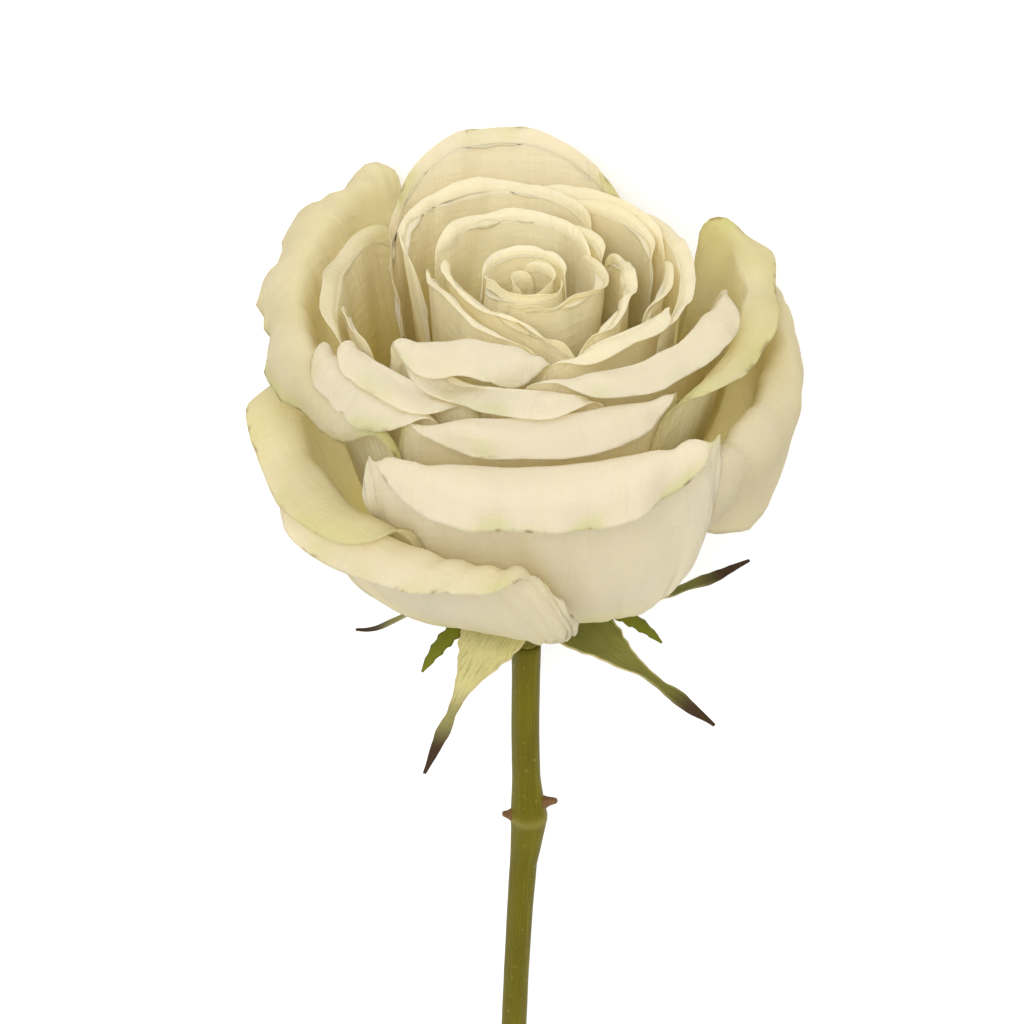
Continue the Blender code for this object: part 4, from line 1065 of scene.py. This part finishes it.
def fine_stem():
    """The stem with its ribs, the ring of its upper joint and the leaf scar of its lower one."""
    heights = [STEM_TOP]
    for end, rings in FINE_RINGS:
        heights += list(np.linspace(heights[-1], end, rings + 1)[1:])
    heights = np.array(heights)
    run = np.array(STEM_RUN)
    where = np.interp(-heights, -run[:, 0], np.arange(len(run), dtype=float))
    sideways = spline_rows(len(run), where) @ run[:, 1]
    radii = smoothed(np.interp(-heights, -run[:, 0], run[:, 2]), (1, 2, 3, 2, 1))
    phases = np.random.default_rng(7).random(6) * 2 * math.pi

    def leaf_scar(angle, along, far, wide):
        turn = (angle - SCAR_ANGLE + math.pi) % (2 * math.pi) - math.pi
        return bell(along - SCAR_ALONG, far) * bell(turn, wide)

    def swell(angle, along):
        ribs = 0.018 * np.sin(5 * angle + phases[0] + along / 40) + 0.012 * np.sin(3 * angle + phases[1])
        knob = 0.05 * bell(along - JOINT_ALONG, 1.1) + 0.04 * bell(along - SCAR_ALONG + 1.0, 0.9)
        lumps = 0.012 * ripple(np.random.default_rng(11), along, 9.0, 40.0)
        return ribs + knob - 0.09 * leaf_scar(angle, along, 1.8, 0.55) + lumps

    def scars(angle, along):
        return np.clip(0.7 * bell(along - JOINT_ALONG, 1.0) + leaf_scar(angle, along, 1.7, 0.6), 0.0, 1.0)

    centres = np.stack([sideways, np.zeros_like(sideways), heights], -1)
    verts, faces, facts = round_piece(centres, radii, STEM_FINE_SIDES, swell, scars)
    facts["mark"][-1, 1] = 1.0                           # the cut end is pale
    return verts, faces, facts


def smoothed(values, weights):
    """A row of values evened out by the weights, its ends held."""
    weights = np.array(weights, float)
    return np.convolve(np.pad(values, len(weights) // 2, mode="edge"), weights / weights.sum(), "valid")


def fine_hip():
    """The hip with its edges rounded over and five faint lobes."""
    profile = np.array([(1.0, HIP_TOP), (6.0, HIP_TOP)] + list(HIP_PROFILE) + [(2.0, HIP_PROFILE[-1][1])])
    knots = np.arange(len(profile))
    t = np.linspace(0, len(profile) - 1, HIP_FINE_RINGS)
    r, z = (smoothed(np.interp(t, knots, column), (1, 2, 3, 4, 3, 2, 1)) for column in profile.T)
    centres = np.zeros((HIP_FINE_RINGS, 3))
    centres[:, 2] = z - 1e-4 * np.arange(HIP_FINE_RINGS)

    def swell(angle, along):
        return 0.02 * np.sin(5 * angle + 0.4) + 0.01 * np.sin(11 * angle + along)

    return round_piece(centres, r, HIP_FINE_SIDES, swell)


def fine_stub(row, index):
    """A rubbed-off prickle, rough and blunt."""
    _, az, height, length, radius = row
    x, r = stem_at(height)
    a = math.radians(az)
    aside = np.array([math.sin(a), -math.cos(a), 0.0])
    start = np.array([x, 0.0, height]) + aside * (r + 0.02)
    out = aside + np.array([0.0, 0.0, 0.25])
    phases = np.random.default_rng(40 + index).random(3) * 6.28

    def swell(angle, along):
        return 0.10 * np.sin(2 * angle + phases[0]) + 0.07 * np.sin(5 * angle + phases[1] + 3 * along)

    return round_piece([start + out * length * s for s, _ in STUB_FINE],
                       [radius * share for _, share in STUB_FINE], 20, swell)


def build_flower():
    """Every piece of the rose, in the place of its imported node."""
    coarse = [seat_claw(grid) for grid in settle([sheet(row) for row in PETALS])]
    pose = pose_of(coarse)
    rooms = room_round(coarse)
    flesh = petal_material()
    for index, (row, grid, room) in enumerate(zip(PETALS, coarse, rooms)):
        fine, facts = fine_petal(grid, room, row, index)
        solid = petal_solid(fine, facts, row, index)
        add_piece("flesh_" + row["name"], solid, pose, flesh, row["name"])
    leaf = sepal_material()
    for index, row in enumerate(SEPALS):
        add_piece("leaf_" + row[0], fine_sepal(row, index), pose, leaf, row[0])
    bark = stem_material()
    add_piece("hip_urn", fine_hip(), pose, bark, "hip")
    add_piece("stem_rod", fine_stem(), pose, bark, "stem")
    cork = stub_material()
    for index, row in enumerate(STUBS):
        add_piece(row[0].replace("prickle_stub", "stub"), fine_stub(row, index), pose, cork, row[0])
    return pose


# ---------------------------------------------------------------- stage
def turn(vector, pose):
    """A direction in the flower's frame as a direction in the part's frame."""
    return np.asarray(vector, float) @ pose[0]


def add_camera(pose):
    """The view of the flower from in front and above."""
    tilt = math.radians(VIEW_TILT)
    back = np.array([0.0, -math.cos(tilt), math.sin(tilt)])
    up = np.array([0.0, math.sin(tilt), math.cos(tilt)])
    right = np.array([1.0, 0.0, 0.0])
    target = VIEW_TARGET[0] * right + VIEW_TARGET[1] * up + VIEW_TARGET[2] * back
    spot = place(target + back * VIEW_DISTANCE, pose)[0]
    axes = [turn(v, pose) for v in (right, up, back)]
    data = bpy.data.cameras.new("photo_camera")
    data.lens = VIEW_LENS
    data.sensor_width = VIEW_SENSOR
    data.clip_start, data.clip_end = VIEW_CLIP
    camera = bpy.data.objects.new("photo_camera", data)
    bpy.context.collection.objects.link(camera)
    camera.matrix_world = Matrix([[axes[0][k], axes[1][k], axes[2][k], spot[k]] for k in range(3)]
                                 + [[0, 0, 0, 1]])
    bpy.context.scene.camera = camera


def add_lamp(name, spot, aim, size, energy):
    """A round soft lamp that points at a place."""
    data = bpy.data.lights.new(name, "AREA")
    data.shape = "DISK"
    data.size = size
    data.energy = energy
    lamp = bpy.data.objects.new(name, data)
    bpy.context.collection.objects.link(lamp)
    lamp.location = spot
    lamp.rotation_euler = (Vector(aim) - Vector(spot)).to_track_quat("-Z", "Y").to_euler()


def seen_white(s, unseen, seen):
    """One shader for the eye, for mirrors and through glass, the other for all other light."""
    rays = s.add("LightPath").outputs
    eye = s.larger(rays["Is Camera Ray"], s.larger(rays["Is Glossy Ray"], rays["Is Transmission Ray"]))
    return s.finish(s.mix(eye, unseen, seen))


def add_stage():
    """A plain pale floor that keeps the shadow, in an evenly lit white room."""
    mesh = bpy.data.meshes.new("floor")
    corners = [(x * FLOOR_HALF, y * FLOOR_HALF, FLOOR_Z) for x, y in ((-1, -1), (1, -1), (1, 1), (-1, 1))]
    mesh.from_pydata(corners, [], [(0, 1, 2, 3)])
    s = material_shader("floor_paper")
    paper = s.add("BsdfDiffuse", {"Color": (*FLOOR_GREY, 1.0)}).outputs[0]
    lift = s.add("Emission", {"Color": WHITE, "Strength": FLOOR_LIFT}).outputs[0]
    mesh.materials.append(seen_white(s, paper, s.add("AddShader", {0: paper, 1: lift}).outputs[0]))
    floor = bpy.data.objects.new("floor", mesh)
    bpy.context.collection.objects.link(floor)
    world = bpy.data.worlds.new("studio")
    bpy.context.scene.world = world
    s = Shader(world, "World")
    soft, back = (s.add("Background", {"Color": WHITE, "Strength": power}).outputs[0]
                  for power in (WORLD_FILL, 1.0))
    seen_white(s, soft, back)


def light_up(pose):
    """The lamps, each aimed at the middle of the flower."""
    head = place(HEAD_MIDDLE, pose)[0]
    for name, direction, distance, size, energy in LAMPS:
        d = turn(np.array(direction, float), pose)
        d = d / np.linalg.norm(d) * distance
        add_lamp(name, tuple(head + d), tuple(head), size, energy)


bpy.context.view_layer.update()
flower_pose = build_flower()
add_camera(flower_pose)
add_stage()
light_up(flower_pose)
bpy.context.scene.view_settings.view_transform = "Standard"
bpy.context.scene.cycles.diffuse_bounces = LIGHT_BOUNCES
